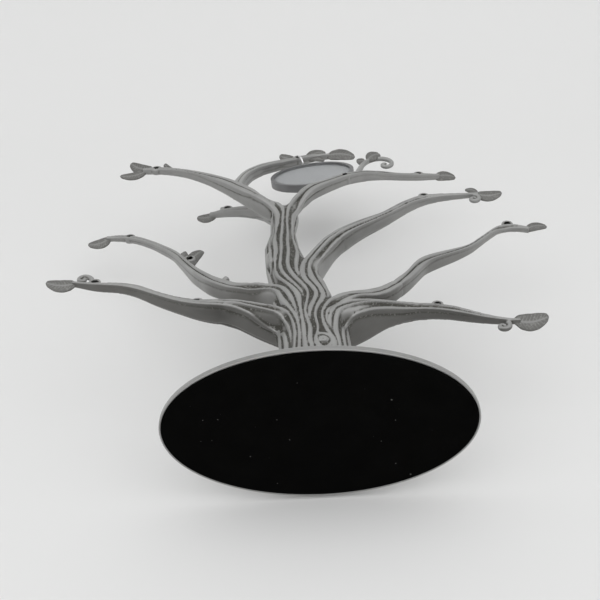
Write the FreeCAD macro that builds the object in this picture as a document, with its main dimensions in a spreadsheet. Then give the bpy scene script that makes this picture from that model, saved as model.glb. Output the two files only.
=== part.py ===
"""Photo tree stand: a cast tree on an oval base, with one small hanging frame.

Millimetres, +Z up the trunk, +X to the right, +Y to the back. The origin is the
middle of the felt's underside, which is what the stand rests on.
"""
import FreeCAD, Part
import math
import os
import Sketcher
from FreeCAD import Placement, Rotation, Vector

os.makedirs("parts", exist_ok=True)
doc = FreeCAD.newDocument("photo_tree_stand")
X_AXIS = Vector(1, 0, 0)
Y_AXIS = Vector(0, 1, 0)
Z_AXIS = Vector(0, 0, 1)
ORIGIN = Vector(0, 0, 0)

# Driving dimensions

SIZES = {
    "tree_height": 280.0,         # floor to the middle of the highest leaf
    "tree_reach": 128.0,          # trunk line to the furthest leaf tip
    "tree_depth": 25.0,           # how far the rear limbs lean back
    "base_length": 140.0,
    "base_width": 80.0,
    "base_thickness": 3.8,
    "base_edge_round": 1.4,
    "felt_margin": 0.9,           # bare metal rim round the felt
    "felt_thickness": 1.4,
    "felt_stand": 0.4,            # felt below the plate's own underside
    "screw_spacing": 24.0,
    "screw_shank_radius": 1.9,
    "screw_head_radius": 3.6,
    "screw_length": 13.0,
    "screw_slot_width": 0.9,
    "trunk_girth": 16.0,          # half the trunk's width above the root flare
    "bark_relief": 0.55,
    "limb_girth": 5.0,            # half the width of a limb at its root
    "root_deep_length": 8.0,      # along a heavy limb, as deep there as the trunk
    "root_fade_length": 22.0,     # beyond that, to the limb's own depth
    "leaf_girth": 4.0,            # half the width of a full leaf
    "leaf_thickness": 2.0,
    "curl_radius": 3.2,
    "hole_radius": 1.5,
    "eye_wall": 1.5,              # metal round a hanging hole
    "eye_depth": 3.0,             # front to back at a hanging hole
    "spigot_radius": 1.3,
    "spigot_length": 5.0,
    "spigot_clearance": 0.05,
    "ring_radius": 4.0,           # to the middle of the wire
    "ring_seat": 0.35,            # wire below the middle of the hole it hangs in
    "ring_wire_radius": 0.55,
    "frame_radius": 23.3,
    "frame_depth": 4.2,
    "frame_wall": 1.3,
    "frame_lip": 0.7,             # how far the front lip covers the lens
    "frame_lip_thickness": 0.6,
    "tab_radius": 2.7,
    "tab_thickness": 1.2,
    "tab_hole_radius": 1.4,
    "tab_reach": 3.0,             # rim to the middle of the eye's hole
    "tab_seat": 0.25,             # eye's hole below the wire
    "lens_thickness": 1.0,
    "card_thickness": 0.4,
    "filler_thickness": 1.2,
    "back_thickness": 0.8,
    "fit_clearance": 0.15,
    "notch_radius": 3.0,
}

sheet = doc.addObject("Spreadsheet::Sheet", "Sizes")
for row, (alias, value) in enumerate(SIZES.items(), start=1):
    sheet.set("A%d" % row, alias)
    sheet.set("B%d" % row, str(value))
    sheet.setAlias("B%d" % row, alias)
doc.recompute()


def size(alias):
    """One driving dimension, read back from the sheet."""
    return float(sheet.get(alias))


HEIGHT = size("tree_height")
REACH = size("tree_reach")
DEPTH = size("tree_depth")
BASE_TOP = size("felt_stand") + size("base_thickness")

# Angles of the hanging frame, as it lies against the fork

FRAME_TILT_DEG = 14.3             # lower edge forward
FRAME_YAW_DEG = -5.3
FRAME_LEAN_DEG = 12.0             # eye to the left of the middle
RING_LEAN_DEG = 20.6              # ring hangs to the right of straight down
RING_CLOSED_DEG = 354.0
SCREW_HEAD_ANGLE = 90.0
FULL_TURN_DEG = 360.0
TOLERANCE = 1e-4

# Routes of the castings. Each row is a station: its place as shares of the
# tree's reach, depth and height, then half its width as a share of the girth.

TRUNK_SHARES = [
    (0.000, 0.00, None, 1.75),
    (0.000, 0.00, 0.034, 1.42),
    (0.000, 0.00, 0.066, 1.17),
    (0.000, 0.00, 0.125, 1.02),
    (-0.004, 0.00, 0.195, 1.02),
    (-0.012, 0.00, 0.261, 1.00),
    (-0.035, 0.00, 0.322, 0.91),
    (-0.059, 0.00, 0.386, 0.81),
    (-0.095, 0.00, 0.452, 0.66),
    (-0.117, -0.04, 0.515, 0.53),
    (-0.112, -0.04, 0.567, 0.41),
    (-0.104, -0.08, 0.615, 0.46),
    (-0.098, -0.10, 0.645, 0.40),
]
TRUNK_FLATNESS_SHARE = 0.86
NUB_TIP_SHARE = 0.86              # a stump's tip radius, of its root's
TOE_RELIEF_SHARES = (0.16, 0.10, 0.04)
RIDGE_COUNT = 14
TOE_COUNT = 5
LIMB_SIDES = 10

# Each limb: its route, the number of stations whose metal belongs to the
# casting that carries it, that casting's name, the middles of its hanging
# holes, its leaves (stem, tip, girth, degrees that the blade's upper edge leans
# forward) and its curls (root, middle, hand). A limb with a deep root is as deep
# as the trunk where it leaves it.

LIMBS = {
    "lower_left_limb": {
        "route_shares": [
            (-0.040, 0.00, 0.250, 1.40),
            (-0.180, -0.08, 0.279, 1.44),
            (-0.300, -0.20, 0.296, 1.14),
            (-0.422, -0.32, 0.291, 0.88),
            (-0.503, -0.40, 0.299, 0.68),
            (-0.589, -0.48, 0.313, 0.62),
            (-0.662, -0.52, 0.336, 0.52),
            (-0.729, -0.56, 0.342, 0.43),
            (-0.810, -0.56, 0.346, 0.42),
            (-0.860, -0.56, 0.354, 0.32),
            (-0.905, -0.56, 0.361, 0.25),
        ],
        "stub": 3,
        "carrier": "tree_trunk",
        "deep_root": True,
        "holes": [(-0.431, -0.32, 0.304), (-0.818, -0.56, 0.356)],
        "leaves": [((-0.890, -0.56, 0.360), (-1.004, -0.60, 0.362), 0.85, 22)],
        "curls": [((-0.845, -0.56, 0.352), (-0.868, -0.56, 0.372), 1)],
    },
    "middle_left_limb": {
        "route_shares": [
            (-0.091, 0.00, 0.324, 1.35),
            (-0.198, 0.08, 0.377, 1.05),
            (-0.300, 0.18, 0.402, 0.84),
            (-0.396, 0.32, 0.449, 0.84),
            (-0.465, 0.44, 0.502, 0.72),
            (-0.512, 0.56, 0.555, 0.56),
            (-0.564, 0.68, 0.613, 0.47),
            (-0.656, 0.80, 0.670, 0.37),
            (-0.734, 0.88, 0.707, 0.37),
            (-0.825, 0.96, 0.732, 0.31),
            (-0.875, 1.00, 0.735, 0.24),
        ],
        "stub": 2,
        "carrier": "tree_trunk",
        "deep_root": True,
        "holes": [(-0.497, 0.56, 0.577), (-0.770, 0.92, 0.722)],
        "leaves": [
            ((-0.858, 1.00, 0.737), (-0.953, 1.04, 0.722), 0.75, 22),
            ((-0.500, 0.56, 0.560), (-0.526, 0.52, 0.606), 0.48, 22),
            ((-0.495, 0.56, 0.562), (-0.446, 0.52, 0.606), 0.42, 22),
        ],
        "curls": [],
    },
    "short_left_limb": {
        "route_shares": [
            (-0.098, -0.02, 0.605, 0.80),
            (-0.148, 0.16, 0.657, 0.70),
            (-0.199, 0.29, 0.702, 0.62),
            (-0.274, 0.44, 0.733, 0.46),
            (-0.349, 0.60, 0.757, 0.38),
            (-0.407, 0.76, 0.775, 0.30),
            (-0.430, 0.82, 0.781, 0.24),
        ],
        "stub": 3,
        "carrier": "tree_trunk",
        "deep_root": False,
        "holes": [(-0.351, 0.60, 0.766)],
        "leaves": [((-0.400, 0.80, 0.779), (-0.490, 0.92, 0.789), 0.72, 22)],
        "curls": [],
    },
    "upper_left_limb": {
        "route_shares": [
            (-0.105, -0.08, 0.628, 1.05),
            (-0.195, -0.16, 0.655, 1.00),
            (-0.265, -0.20, 0.690, 0.88),
            (-0.338, -0.20, 0.727, 0.74),
            (-0.416, -0.16, 0.765, 0.54),
            (-0.505, -0.12, 0.799, 0.40),
            (-0.591, -0.04, 0.828, 0.34),
            (-0.660, 0.00, 0.841, 0.34),
            (-0.715, 0.04, 0.846, 0.28),
        ],
        "stub": 2,
        "carrier": "tree_trunk",
        "deep_root": False,
        "holes": [(-0.654, 0.00, 0.843)],
        "leaves": [
            ((-0.672, 0.02, 0.848), (-0.775, 0.04, 0.882), 0.85, 22),
            ((-0.700, 0.04, 0.846), (-0.815, 0.08, 0.838), 0.62, 22),
            ((-0.560, -0.04, 0.822), (-0.622, -0.04, 0.862), 0.50, 22),
        ],
        "curls": [],
    },
    "crown_limb": {
        "route_shares": [
            (-0.300, -0.18, 0.712, 0.70),
            (-0.290, -0.10, 0.748, 0.62),
            (-0.275, 0.04, 0.794, 0.56),
            (-0.252, 0.20, 0.839, 0.52),
            (-0.201, 0.36, 0.885, 0.47),
            (-0.123, 0.52, 0.926, 0.42),
            (-0.078, 0.60, 0.941, 0.42),
            (-0.033, 0.64, 0.961, 0.40),
            (0.036, 0.68, 0.976, 0.32),
            (0.104, 0.68, 0.980, 0.26),
        ],
        "stub": 2,
        "carrier": "upper_left_limb",
        "deep_root": False,
        "holes": [(-0.042, 0.62, 0.960)],
        "leaves": [
            ((-0.058, 0.62, 0.962), (-0.124, 0.58, 0.976), 0.45, 22),
            ((-0.005, 0.68, 0.970), (0.084, 0.68, 0.998), 0.72, 22),
            ((0.000, 0.68, 0.968), (0.078, 0.68, 0.962), 0.42, 22),
            ((0.090, 0.68, 0.980), (0.216, 0.68, 0.970), 0.95, 22),
        ],
        "curls": [],
    },
    "upper_right_limb": {
        "route_shares": [
            (-0.098, -0.08, 0.615, 0.96),
            (-0.060, -0.12, 0.655, 0.92),
            (0.002, -0.18, 0.692, 0.76),
            (0.077, -0.18, 0.715, 0.60),
            (0.155, -0.10, 0.752, 0.56),
            (0.235, 0.08, 0.791, 0.52),
            (0.316, 0.28, 0.822, 0.40),
            (0.401, 0.48, 0.844, 0.35),
            (0.493, 0.66, 0.869, 0.36),
            (0.580, 0.78, 0.885, 0.28),
        ],
        "stub": 2,
        "carrier": "tree_trunk",
        "deep_root": False,
        "holes": [(0.155, -0.10, 0.756), (0.486, 0.65, 0.874)],
        "leaves": [
            ((0.560, 0.78, 0.884), (0.654, 0.84, 0.890), 0.80, 22),
            ((0.262, 0.10, 0.858), (0.318, 0.08, 0.880), 0.80, 22),
            ((0.250, 0.10, 0.856), (0.214, 0.08, 0.856), 0.40, 22),
        ],
        "curls": [((0.245, 0.12, 0.850), (0.335, 0.14, 0.843), -1)],
    },
    "high_right_limb": {
        "route_shares": [
            (-0.050, 0.04, 0.375, 1.30),
            (0.012, -0.06, 0.448, 1.42),
            (0.072, -0.16, 0.490, 1.20),
            (0.134, -0.24, 0.514, 1.00),
            (0.217, -0.28, 0.543, 0.78),
            (0.299, -0.32, 0.562, 0.66),
            (0.377, -0.32, 0.598, 0.60),
            (0.450, -0.32, 0.624, 0.50),
            (0.521, -0.32, 0.632, 0.38),
            (0.610, -0.32, 0.635, 0.28),
            (0.690, -0.32, 0.636, 0.24),
        ],
        "stub": 3,
        "carrier": "tree_trunk",
        "deep_root": True,
        "holes": [(0.467, -0.32, 0.633)],
        "leaves": [
            ((0.690, -0.32, 0.640), (0.640, -0.34, 0.655), 0.38, 22),
            ((0.680, -0.32, 0.636), (0.786, -0.34, 0.636), 0.80, 22),
        ],
        "curls": [((0.640, -0.32, 0.636), (0.667, -0.32, 0.621), -1)],
    },
    "middle_right_limb": {
        "route_shares": [
            (0.045, 0.00, 0.285, 1.25),
            (0.133, 0.00, 0.304, 1.22),
            (0.229, 0.04, 0.339, 1.04),
            (0.298, 0.08, 0.366, 0.84),
            (0.365, 0.12, 0.408, 0.74),
            (0.428, 0.16, 0.460, 0.76),
            (0.492, 0.20, 0.483, 0.68),
            (0.568, 0.24, 0.506, 0.56),
            (0.633, 0.28, 0.530, 0.42),
            (0.704, 0.32, 0.572, 0.36),
            (0.776, 0.36, 0.612, 0.36),
            (0.837, 0.36, 0.612, 0.34),
            (0.890, 0.36, 0.600, 0.28),
        ],
        "stub": 4,
        "carrier": "tree_trunk",
        "deep_root": True,
        "holes": [(0.807, 0.36, 0.621)],
        "leaves": [((0.876, 0.36, 0.602), (0.968, 0.38, 0.614), 0.62, 22)],
        "curls": [],
    },
    "lower_right_limb": {
        "route_shares": [
            (0.060, 0.00, 0.250, 1.50),
            (0.180, 0.04, 0.284, 1.62),
            (0.263, 0.08, 0.304, 1.30),
            (0.345, 0.12, 0.314, 0.86),
            (0.432, 0.12, 0.314, 0.66),
            (0.506, 0.12, 0.308, 0.64),
            (0.577, 0.12, 0.293, 0.54),
            (0.648, 0.12, 0.281, 0.40),
            (0.705, 0.12, 0.274, 0.31),
            (0.760, 0.12, 0.272, 0.24),
        ],
        "stub": 4,
        "carrier": "tree_trunk",
        "deep_root": True,
        "holes": [(0.462, 0.12, 0.324)],
        "leaves": [((0.735, 0.12, 0.274), (0.866, 0.10, 0.280), 1.05, 40)],
        "curls": [((0.660, 0.12, 0.279), (0.690, 0.12, 0.259), -1)],
    },
}
NUB_SHARES = {
    "middle_left_limb": [((-0.375, 0.26, 0.440), (-0.335, 0.20, 0.462), 0.40)],
    "short_left_limb": [((-0.372, 0.64, 0.764), (-0.376, 0.64, 0.780), 0.30)],
    "high_right_limb": [((0.120, -0.22, 0.510), (0.126, -0.20, 0.548), 0.42)],
}
TWIG_SHARES = {
    "upper_right_limb": [
        (0.205, 0.02, 0.778, 0.42),
        (0.217, 0.05, 0.806, 0.34),
        (0.238, 0.08, 0.838, 0.29),
        (0.266, 0.10, 0.860, 0.24),
    ],
}

# A leaf from stem to tip: place along it, half width, half thickness

LEAF_SHARES = [
    (0.00, 0.30, 0.95),
    (0.15, 0.86, 1.00),
    (0.40, 1.06, 0.92),
    (0.68, 0.96, 0.80),
    (0.88, 0.66, 0.66),
    (1.00, 0.34, 0.50),
]
LEAF_BOW_SHARE = 0.10             # how far the midrib bows, of the leaf's length
CURL_TURNS = 1.15
CURL_STATIONS = 9
CURL_TIP_SHARE = 0.34             # last radius of the curl, of its first
CURL_GIRTH_SHARES = (0.26, 0.15)


def place(shares):
    """A point of the tree from its shares of reach, depth and height."""
    across, back, up = shares[:3]
    if up is None:
        return Vector(across * REACH, back * DEPTH, BASE_TOP)
    return Vector(across * REACH, back * DEPTH, up * HEIGHT)


def smooth_loop(points):
    """A closed smooth wire through points."""
    curve = Part.BSplineCurve()
    curve.interpolate(Points=points, PeriodicFlag=True)
    return Part.Wire([curve.toShape()])


def oval_section(centre, along, half_width, half_depth):
    """An oval square to along; its width lies in the plane of the tree."""
    across = along.cross(Y_AXIS).normalize()
    out = across.cross(along).normalize()
    points = []
    for side in range(LIMB_SIDES):
        turn = 2 * math.pi * side / LIMB_SIDES
        points.append(
            centre
            + across * (half_width * math.cos(turn))
            + out * (half_depth * math.sin(turn))
        )
    return smooth_loop(points)


def directions(points):
    """The direction of travel at each point of a route."""
    found = []
    last = len(points) - 1
    for index in range(len(points)):
        before = points[max(index - 1, 0)]
        after = points[min(index + 1, last)]
        found.append((after - before).normalize())
    return found


def swept_part(points, halves, first, last):
    """A stretch of a route, with the ovals that the whole route has."""
    wires = []
    for index, along in enumerate(directions(points)):
        if first <= index <= last:
            width, depth = halves[index]
            wires.append(oval_section(points[index], along, width, depth))
    return Part.makeLoft(wires, True, False)


def swept(points, halves):
    """A solid through ovals set square to a route."""
    return swept_part(points, halves, 0, len(points) - 1)


def trunk_section(shares, toe_share):
    """A level section of the trunk, with bark ridges and root toes."""
    centre = place(shares)
    half_width = shares[3] * size("trunk_girth")
    half_depth = half_width * TRUNK_FLATNESS_SHARE
    relief = size("bark_relief") / size("trunk_girth")
    points = []
    for step in range(2 * RIDGE_COUNT):
        turn = math.pi * step / RIDGE_COUNT
        swell = 1 + relief * (-1) ** step + toe_share * math.cos(TOE_COUNT * turn)
        points.append(
            centre
            + X_AXIS * (half_width * swell * math.cos(turn))
            + Y_AXIS * (half_depth * swell * math.sin(turn))
        )
    return smooth_loop(points)


def trunk_solid():
    """The ridged trunk from the base up to the fork."""
    toes = list(TOE_RELIEF_SHARES) + [0.0] * len(TRUNK_SHARES)
    wires = [trunk_section(row, toe) for row, toe in zip(TRUNK_SHARES, toes)]
    return Part.makeLoft(wires, True, False)


def leaf_solid(stem, tip, girth_share, turn):
    """A crowned, pointed leaf whose blade lies in the plane of the tree, or is turned from it."""
    start = place(stem)
    end = place(tip)
    run = end - start
    side = run.cross(Y_AXIS).normalize()
    half_width = girth_share * size("leaf_girth")
    half_thick = size("leaf_thickness") / 2
    points = []
    halves = []
    for along_share, width_share, thick_share in LEAF_SHARES:
        bow = LEAF_BOW_SHARE * run.Length * math.sin(math.pi * along_share)
        points.append(start + run * along_share + side * bow)
        halves.append((half_width * width_share, half_thick * thick_share))
    blade = swept(points, halves)
    blade.rotate(start, run, math.copysign(turn, run.x))
    return blade


def curl_solid(root, centre, hand):
    """A tendril that winds inwards in the plane of the tree."""
    start = place(root)
    middle = place(centre)
    arm = start - middle
    first = math.atan2(arm.z, arm.x)
    points = []
    halves = []
    for step in range(CURL_STATIONS):
        share = step / (CURL_STATIONS - 1)
        turn = first + hand * 2 * math.pi * CURL_TURNS * share
        radius = arm.Length * (1 - share) + CURL_TIP_SHARE * size("curl_radius") * share
        points.append(middle + Vector(radius * math.cos(turn), 0, radius * math.sin(turn)))
        thick, thin = CURL_GIRTH_SHARES
        girth = (thick * (1 - share) + thin * share) * size("limb_girth")
        halves.append((girth, girth))
    return swept(points, halves)


def nub_solid(root, tip, girth_share):
    """A short blunt stump."""
    start = place(root)
    end = place(tip)
    girth = girth_share * size("limb_girth")
    run = end - start
    return Part.makeCone(girth, girth * NUB_TIP_SHARE, run.Length, start, run)


def eye_solid(shares):
    """The flat round boss that a hanging hole goes through."""
    radius = size("hole_radius") + size("eye_wall")
    depth = size("eye_depth")
    return Part.makeCylinder(radius, depth, place(shares) - Y_AXIS * (depth / 2), Y_AXIS)


def eye_clearing(shares):
    """Slabs that trim a limb to the boss's two faces, and the hole itself."""
    radius = size("hole_radius") + size("eye_wall")
    depth = size("eye_depth")
    middle = place(shares)
    slab = 2 * size("limb_girth")
    front = Part.makeCylinder(radius, slab, middle + Y_AXIS * (depth / 2), Y_AXIS)
    back = Part.makeCylinder(radius, slab, middle - Y_AXIS * (depth / 2), -Y_AXIS)
    hole = Part.makeCylinder(size("hole_radius"), 2 * slab, middle - Y_AXIS * slab, Y_AXIS)
    return [front, back, hole]


def trunk_depth(height):
    """Half the trunk's depth at a height, by straight lines between its stations."""
    for lower, upper in zip(TRUNK_SHARES[1:], TRUNK_SHARES[2:]):
        if upper[2] * HEIGHT >= height:
            break
    share = (height / HEIGHT - lower[2]) / (upper[2] - lower[2])
    girth_share = lower[3] + (upper[3] - lower[3]) * share
    return girth_share * size("trunk_girth") * TRUNK_FLATNESS_SHARE


def smooth_fade(share):
    """1 before 0, 0 beyond 1, and a smooth fall between them."""
    inside = min(max(share, 0.0), 1.0)
    return 1 - inside * inside * (3 - 2 * inside)


def limb_stations(name):
    """Points and half sizes of a limb's whole route."""
    rows = LIMBS[name]["route_shares"]
    points = [place(row) for row in rows]
    halves = []
    travelled = 0.0
    for index, row in enumerate(rows):
        travelled += (points[index] - points[max(index - 1, 0)]).Length
        width = row[3] * size("limb_girth")
        extra = 0.0
        if LIMBS[name]["deep_root"]:
            beyond = travelled - size("root_deep_length")
            extra = trunk_depth(points[index].z) - width
            extra = max(extra, 0.0) * smooth_fade(beyond / size("root_fade_length"))
        halves.append((width, width + extra))
    return points, halves


def spigot(name, radius, length):
    """The round peg at a limb's root, or the socket for it."""
    points, _ = limb_stations(name)
    split = LIMBS[name]["stub"] - 1
    along = directions(points)[split]
    return Part.makeCylinder(radius, length, points[split], -along)


def stub_solid(name):
    """The first stretch of a limb, which its carrier's casting includes."""
    points, halves = limb_stations(name)
    return swept_part(points, halves, 0, LIMBS[name]["stub"] - 1)


def socket(name):
    return spigot(
        name,
        size("spigot_radius") + size("spigot_clearance"),
        size("spigot_length") + size("spigot_clearance"),
    )


def carried_by(node):
    return [name for name, limb in LIMBS.items() if limb["carrier"] == node]


def limb_solid(name):
    """One limb casting with its leaves, curls, eyes, spigot and sockets."""
    limb = LIMBS[name]
    points, halves = limb_stations(name)
    body = swept_part(points, halves, limb["stub"] - 1, len(points) - 1)
    extras = [spigot(name, size("spigot_radius"), size("spigot_length"))]
    extras += [eye_solid(hole) for hole in limb["holes"]]
    extras += [stub_solid(child) for child in carried_by(name)]
    extras += [nub_solid(*row) for row in NUB_SHARES.get(name, [])]
    if name in TWIG_SHARES:
        rows = TWIG_SHARES[name]
        girths = [row[3] * size("limb_girth") for row in rows]
        extras.append(swept([place(row) for row in rows], [(g, g) for g in girths]))
    extras += [curl_solid(*row) for row in limb["curls"]]
    extras += [leaf_solid(*row) for row in limb["leaves"]]
    for extra in extras:
        body = body.fuse(extra)
    for hole in limb["holes"]:
        for tool in eye_clearing(hole):
            body = body.cut(tool)
    for child in carried_by(name):
        body = body.cut(socket(child))
    return body


def screw_places():
    half = size("screw_spacing") / 2
    return [Vector(-half, 0, 0), Vector(half, 0, 0)]


def tree_trunk():
    """The trunk casting with the stubs of the limbs that it carries."""
    body = trunk_solid()
    for name in carried_by("tree_trunk"):
        body = body.fuse(stub_solid(name))
    for name in carried_by("tree_trunk"):
        body = body.cut(socket(name))
    for spot in screw_places():
        body = body.cut(Part.makeCylinder(size("screw_shank_radius"), screw_top(), spot, Z_AXIS))
    return body


def screw_bottom():
    return size("felt_thickness")


def screw_top():
    return screw_bottom() + size("screw_length")


def add_shape(label, shape):
    """A sub-part whose shape is worked out here."""
    feature = doc.addObject("Part::Feature", label)
    feature.Label = label
    feature.Shape = shape
    feature.Placement = Placement()
    return feature


def origin_plane(body, role):
    """One of the body's own origin planes."""
    for plane in body.Origin.OriginFeatures:
        if plane.Role == role:
            return plane
    raise ValueError(role)


def level_sketch(body, name, height=None):
    """A sketch on the body's own XY plane, raised by an expression."""
    sketch = body.newObject("Sketcher::SketchObject", name)
    sketch.AttachmentSupport = [(origin_plane(body, "XY_Plane"), "")]
    sketch.MapMode = "FlatFace"
    if height:
        sketch.setExpression("AttachmentOffset.Base.z", height)
    return sketch


def upright_sketch(body, name):
    """A sketch on the body's own XZ plane."""
    sketch = body.newObject("Sketcher::SketchObject", name)
    sketch.AttachmentSupport = [(origin_plane(body, "XZ_Plane"), "")]
    sketch.MapMode = "FlatFace"
    return sketch


def bind(sketch, constraint, expression):
    """Add a constraint and bind its value to the sheet."""
    index = sketch.addConstraint(constraint)
    sketch.setExpression("Constraints[%d]" % index, expression)


def draw_oval(sketch, long_axis, short_axis):
    """An oval about the origin, its full axes bound to the sheet."""
    long_start = size("base_length") / 2
    short_start = size("base_width") / 2
    oval = Part.Ellipse(Vector(long_start, 0, 0), Vector(0, short_start, 0), ORIGIN)
    index = sketch.addGeometry(oval, False)
    sketch.exposeInternalGeometry(index)
    long_line = index + 1
    short_line = index + 2
    sketch.addConstraint(Sketcher.Constraint("Coincident", index, 3, -1, 1))
    sketch.addConstraint(Sketcher.Constraint("Horizontal", long_line))
    bind(sketch, Sketcher.Constraint("Distance", long_line, 2 * long_start), long_axis)
    bind(sketch, Sketcher.Constraint("Distance", short_line, 2 * short_start), short_axis)


def draw_circle(sketch, radius, expression, height=None, start_height=0.0):
    """A circle on the sketch's vertical axis, its radius bound to the sheet."""
    index = sketch.addGeometry(Part.Circle(Vector(0, start_height, 0), Z_AXIS, radius), False)
    bind(sketch, Sketcher.Constraint("Radius", index, radius), expression)
    if height is None:
        sketch.addConstraint(Sketcher.Constraint("Coincident", index, 3, -1, 1))
    else:
        sketch.addConstraint(Sketcher.Constraint("PointOnObject", index, 3, -2))
        bind(sketch, Sketcher.Constraint("DistanceY", -1, 1, index, 3, start_height), height)
    return index


def draw_profile(sketch, corners):
    """A closed outline whose corners are pairs of start place and expression."""
    starts = [Vector(across[0], up[0], 0) for across, up in corners]
    count = len(corners)
    for index in range(count):
        line = Part.LineSegment(starts[index], starts[(index + 1) % count])
        sketch.addGeometry(line, False)
    for index in range(count):
        sketch.addConstraint(Sketcher.Constraint("Coincident", index, 2, (index + 1) % count, 1))
    for index, (across, up) in enumerate(corners):
        bind(sketch, Sketcher.Constraint("DistanceX", -1, 1, index, 1, across[0]), across[1])
        if up[1] is None:
            sketch.addConstraint(Sketcher.Constraint("PointOnObject", index, 1, -1))
        else:
            bind(sketch, Sketcher.Constraint("DistanceY", -1, 1, index, 1, up[0]), up[1])


def pad(body, sketch, length, name):
    feature = body.newObject("PartDesign::Pad", name)
    feature.Profile = sketch
    feature.setExpression("Length", length)
    doc.recompute()
    return feature


def new_body(label):
    body = doc.addObject("PartDesign::Body", label)
    body.Label = label
    return body


# The base

def base_plate():
    """The oval plate: rounded top edge, felt recess below, two screw holes."""
    body = new_body("base_plate")
    outline = level_sketch(body, "plate_outline", "Sizes.felt_stand")
    draw_oval(outline, "Sizes.base_length", "Sizes.base_width")
    plate = pad(body, outline, "Sizes.base_thickness", "plate_pad")
    rounded = body.newObject("PartDesign::Fillet", "plate_edge")
    rounded.Base = (plate, [edge_at(plate.Shape, BASE_TOP)])
    rounded.setExpression("Radius", "Sizes.base_edge_round")
    recess = level_sketch(body, "recess_outline", "Sizes.felt_stand")
    draw_oval(
        recess,
        "Sizes.base_length - 2 * Sizes.felt_margin",
        "Sizes.base_width - 2 * Sizes.felt_margin",
    )
    pocket = body.newObject("PartDesign::Pocket", "felt_recess")
    pocket.Profile = recess
    pocket.Reversed = True
    pocket.setExpression("Length", "Sizes.felt_thickness - Sizes.felt_stand")
    doc.recompute()
    seats = level_sketch(body, "screw_seats", "Sizes.felt_thickness")
    for side in (-1, 1):
        start = side * size("screw_spacing") / 2
        circle = Part.Circle(Vector(start, 0, 0), Z_AXIS, size("screw_shank_radius"))
        hole = seats.addGeometry(circle, False)
        seats.addConstraint(Sketcher.Constraint("PointOnObject", hole, 3, -1))
        place_of_hole = "%d * Sizes.screw_spacing / 2" % side
        bind(seats, Sketcher.Constraint("DistanceX", -1, 1, hole, 3, start), place_of_hole)
        bore = Sketcher.Constraint("Radius", hole, size("screw_shank_radius"))
        bind(seats, bore, "Sizes.screw_shank_radius")
    doc.recompute()
    holes = body.newObject("PartDesign::Hole", "screw_holes")
    holes.Profile = seats
    holes.ThreadType = "None"
    holes.Reversed = True
    holes.setExpression("Diameter", "2 * Sizes.screw_shank_radius")
    holes.DepthType = "ThroughAll"
    holes.HoleCutType = "Countersink"
    holes.HoleCutCustomValues = True
    holes.setExpression("HoleCutDiameter", "2 * Sizes.screw_head_radius")
    holes.HoleCutCountersinkAngle = SCREW_HEAD_ANGLE
    doc.recompute()
    return body


def edge_at(shape, height):
    """The name of the edge that lies level at a height."""
    for index, edge in enumerate(shape.Edges, start=1):
        box = edge.BoundBox
        if abs(box.ZMin - height) < TOLERANCE and abs(box.ZMax - height) < TOLERANCE:
            return "Edge%d" % index
    raise ValueError(height)


def base_felt():
    """The flocked pad, which stands a little below the plate."""
    body = new_body("base_felt")
    outline = level_sketch(body, "felt_outline")
    draw_oval(
        outline,
        "Sizes.base_length - 2 * Sizes.felt_margin - 2 * Sizes.fit_clearance",
        "Sizes.base_width - 2 * Sizes.felt_margin - 2 * Sizes.fit_clearance",
    )
    pad(body, outline, "Sizes.felt_thickness", "felt_pad")
    return body


def primitive(kind, name, expressions):
    """A Part primitive with its properties bound to the sheet."""
    feature = doc.addObject(kind, name)
    for path, expression in expressions.items():
        feature.setExpression(path, expression)
    return feature


def base_screw(side, name):
    """One slotted countersunk screw, head down."""
    across = "%d * Sizes.screw_spacing / 2" % side
    head = primitive("Part::Cone", name + "_head", {
        "Radius1": "Sizes.screw_head_radius",
        "Radius2": "Sizes.screw_shank_radius",
        "Height": "Sizes.screw_head_radius - Sizes.screw_shank_radius",
        "Placement.Base.x": across,
        "Placement.Base.z": "Sizes.felt_thickness",
    })
    shank = primitive("Part::Cylinder", name + "_shank", {
        "Radius": "Sizes.screw_shank_radius",
        "Height": "Sizes.screw_length",
        "Placement.Base.x": across,
        "Placement.Base.z": "Sizes.felt_thickness",
    })
    slot = primitive("Part::Box", name + "_slot", {
        "Length": "2 * Sizes.screw_head_radius",
        "Width": "Sizes.screw_slot_width",
        "Height": "Sizes.screw_slot_width",
        "Placement.Base.x": across + " - Sizes.screw_head_radius",
        "Placement.Base.y": "-Sizes.screw_slot_width / 2",
        "Placement.Base.z": "Sizes.felt_thickness",
    })
    whole = doc.addObject("Part::Fuse", name + "_blank")
    whole.Base = head
    whole.Tool = shank
    cut = doc.addObject("Part::Cut", name)
    cut.Base = whole
    cut.Tool = slot
    return cut


def base_screws():
    """Both screws as one group."""
    group = doc.addObject("Part::Compound", "base_screws")
    group.Links = [base_screw(-1, "left_screw"), base_screw(1, "right_screw")]
    return group


# The small hanging frame. Its own axes: +Z out of its front, +Y towards its eye.

def frame_axes():
    """Right, up and front of the small frame where it hangs."""
    tilt = math.radians(FRAME_TILT_DEG)
    yaw = math.radians(FRAME_YAW_DEG)
    lean = math.radians(FRAME_LEAN_DEG)
    front = Vector(
        math.sin(yaw) * math.cos(tilt), -math.cos(yaw) * math.cos(tilt), math.sin(tilt)
    )
    level = Z_AXIS.cross(front).normalize()
    rise = front.cross(level)
    right = level * math.cos(lean) + rise * math.sin(lean)
    up = rise * math.cos(lean) - level * math.sin(lean)
    return right, up, front


def ring_direction():
    lean = math.radians(RING_LEAN_DEG)
    return Vector(math.sin(lean), 0, -math.cos(lean))


def ring_top():
    """The middle of the wire where it passes through the crown limb's hole."""
    hole = place(LIMBS["crown_limb"]["holes"][0])
    return hole + ring_direction() * size("ring_seat")


def ring_bottom():
    return ring_top() + ring_direction() * (2 * size("ring_radius"))


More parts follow.
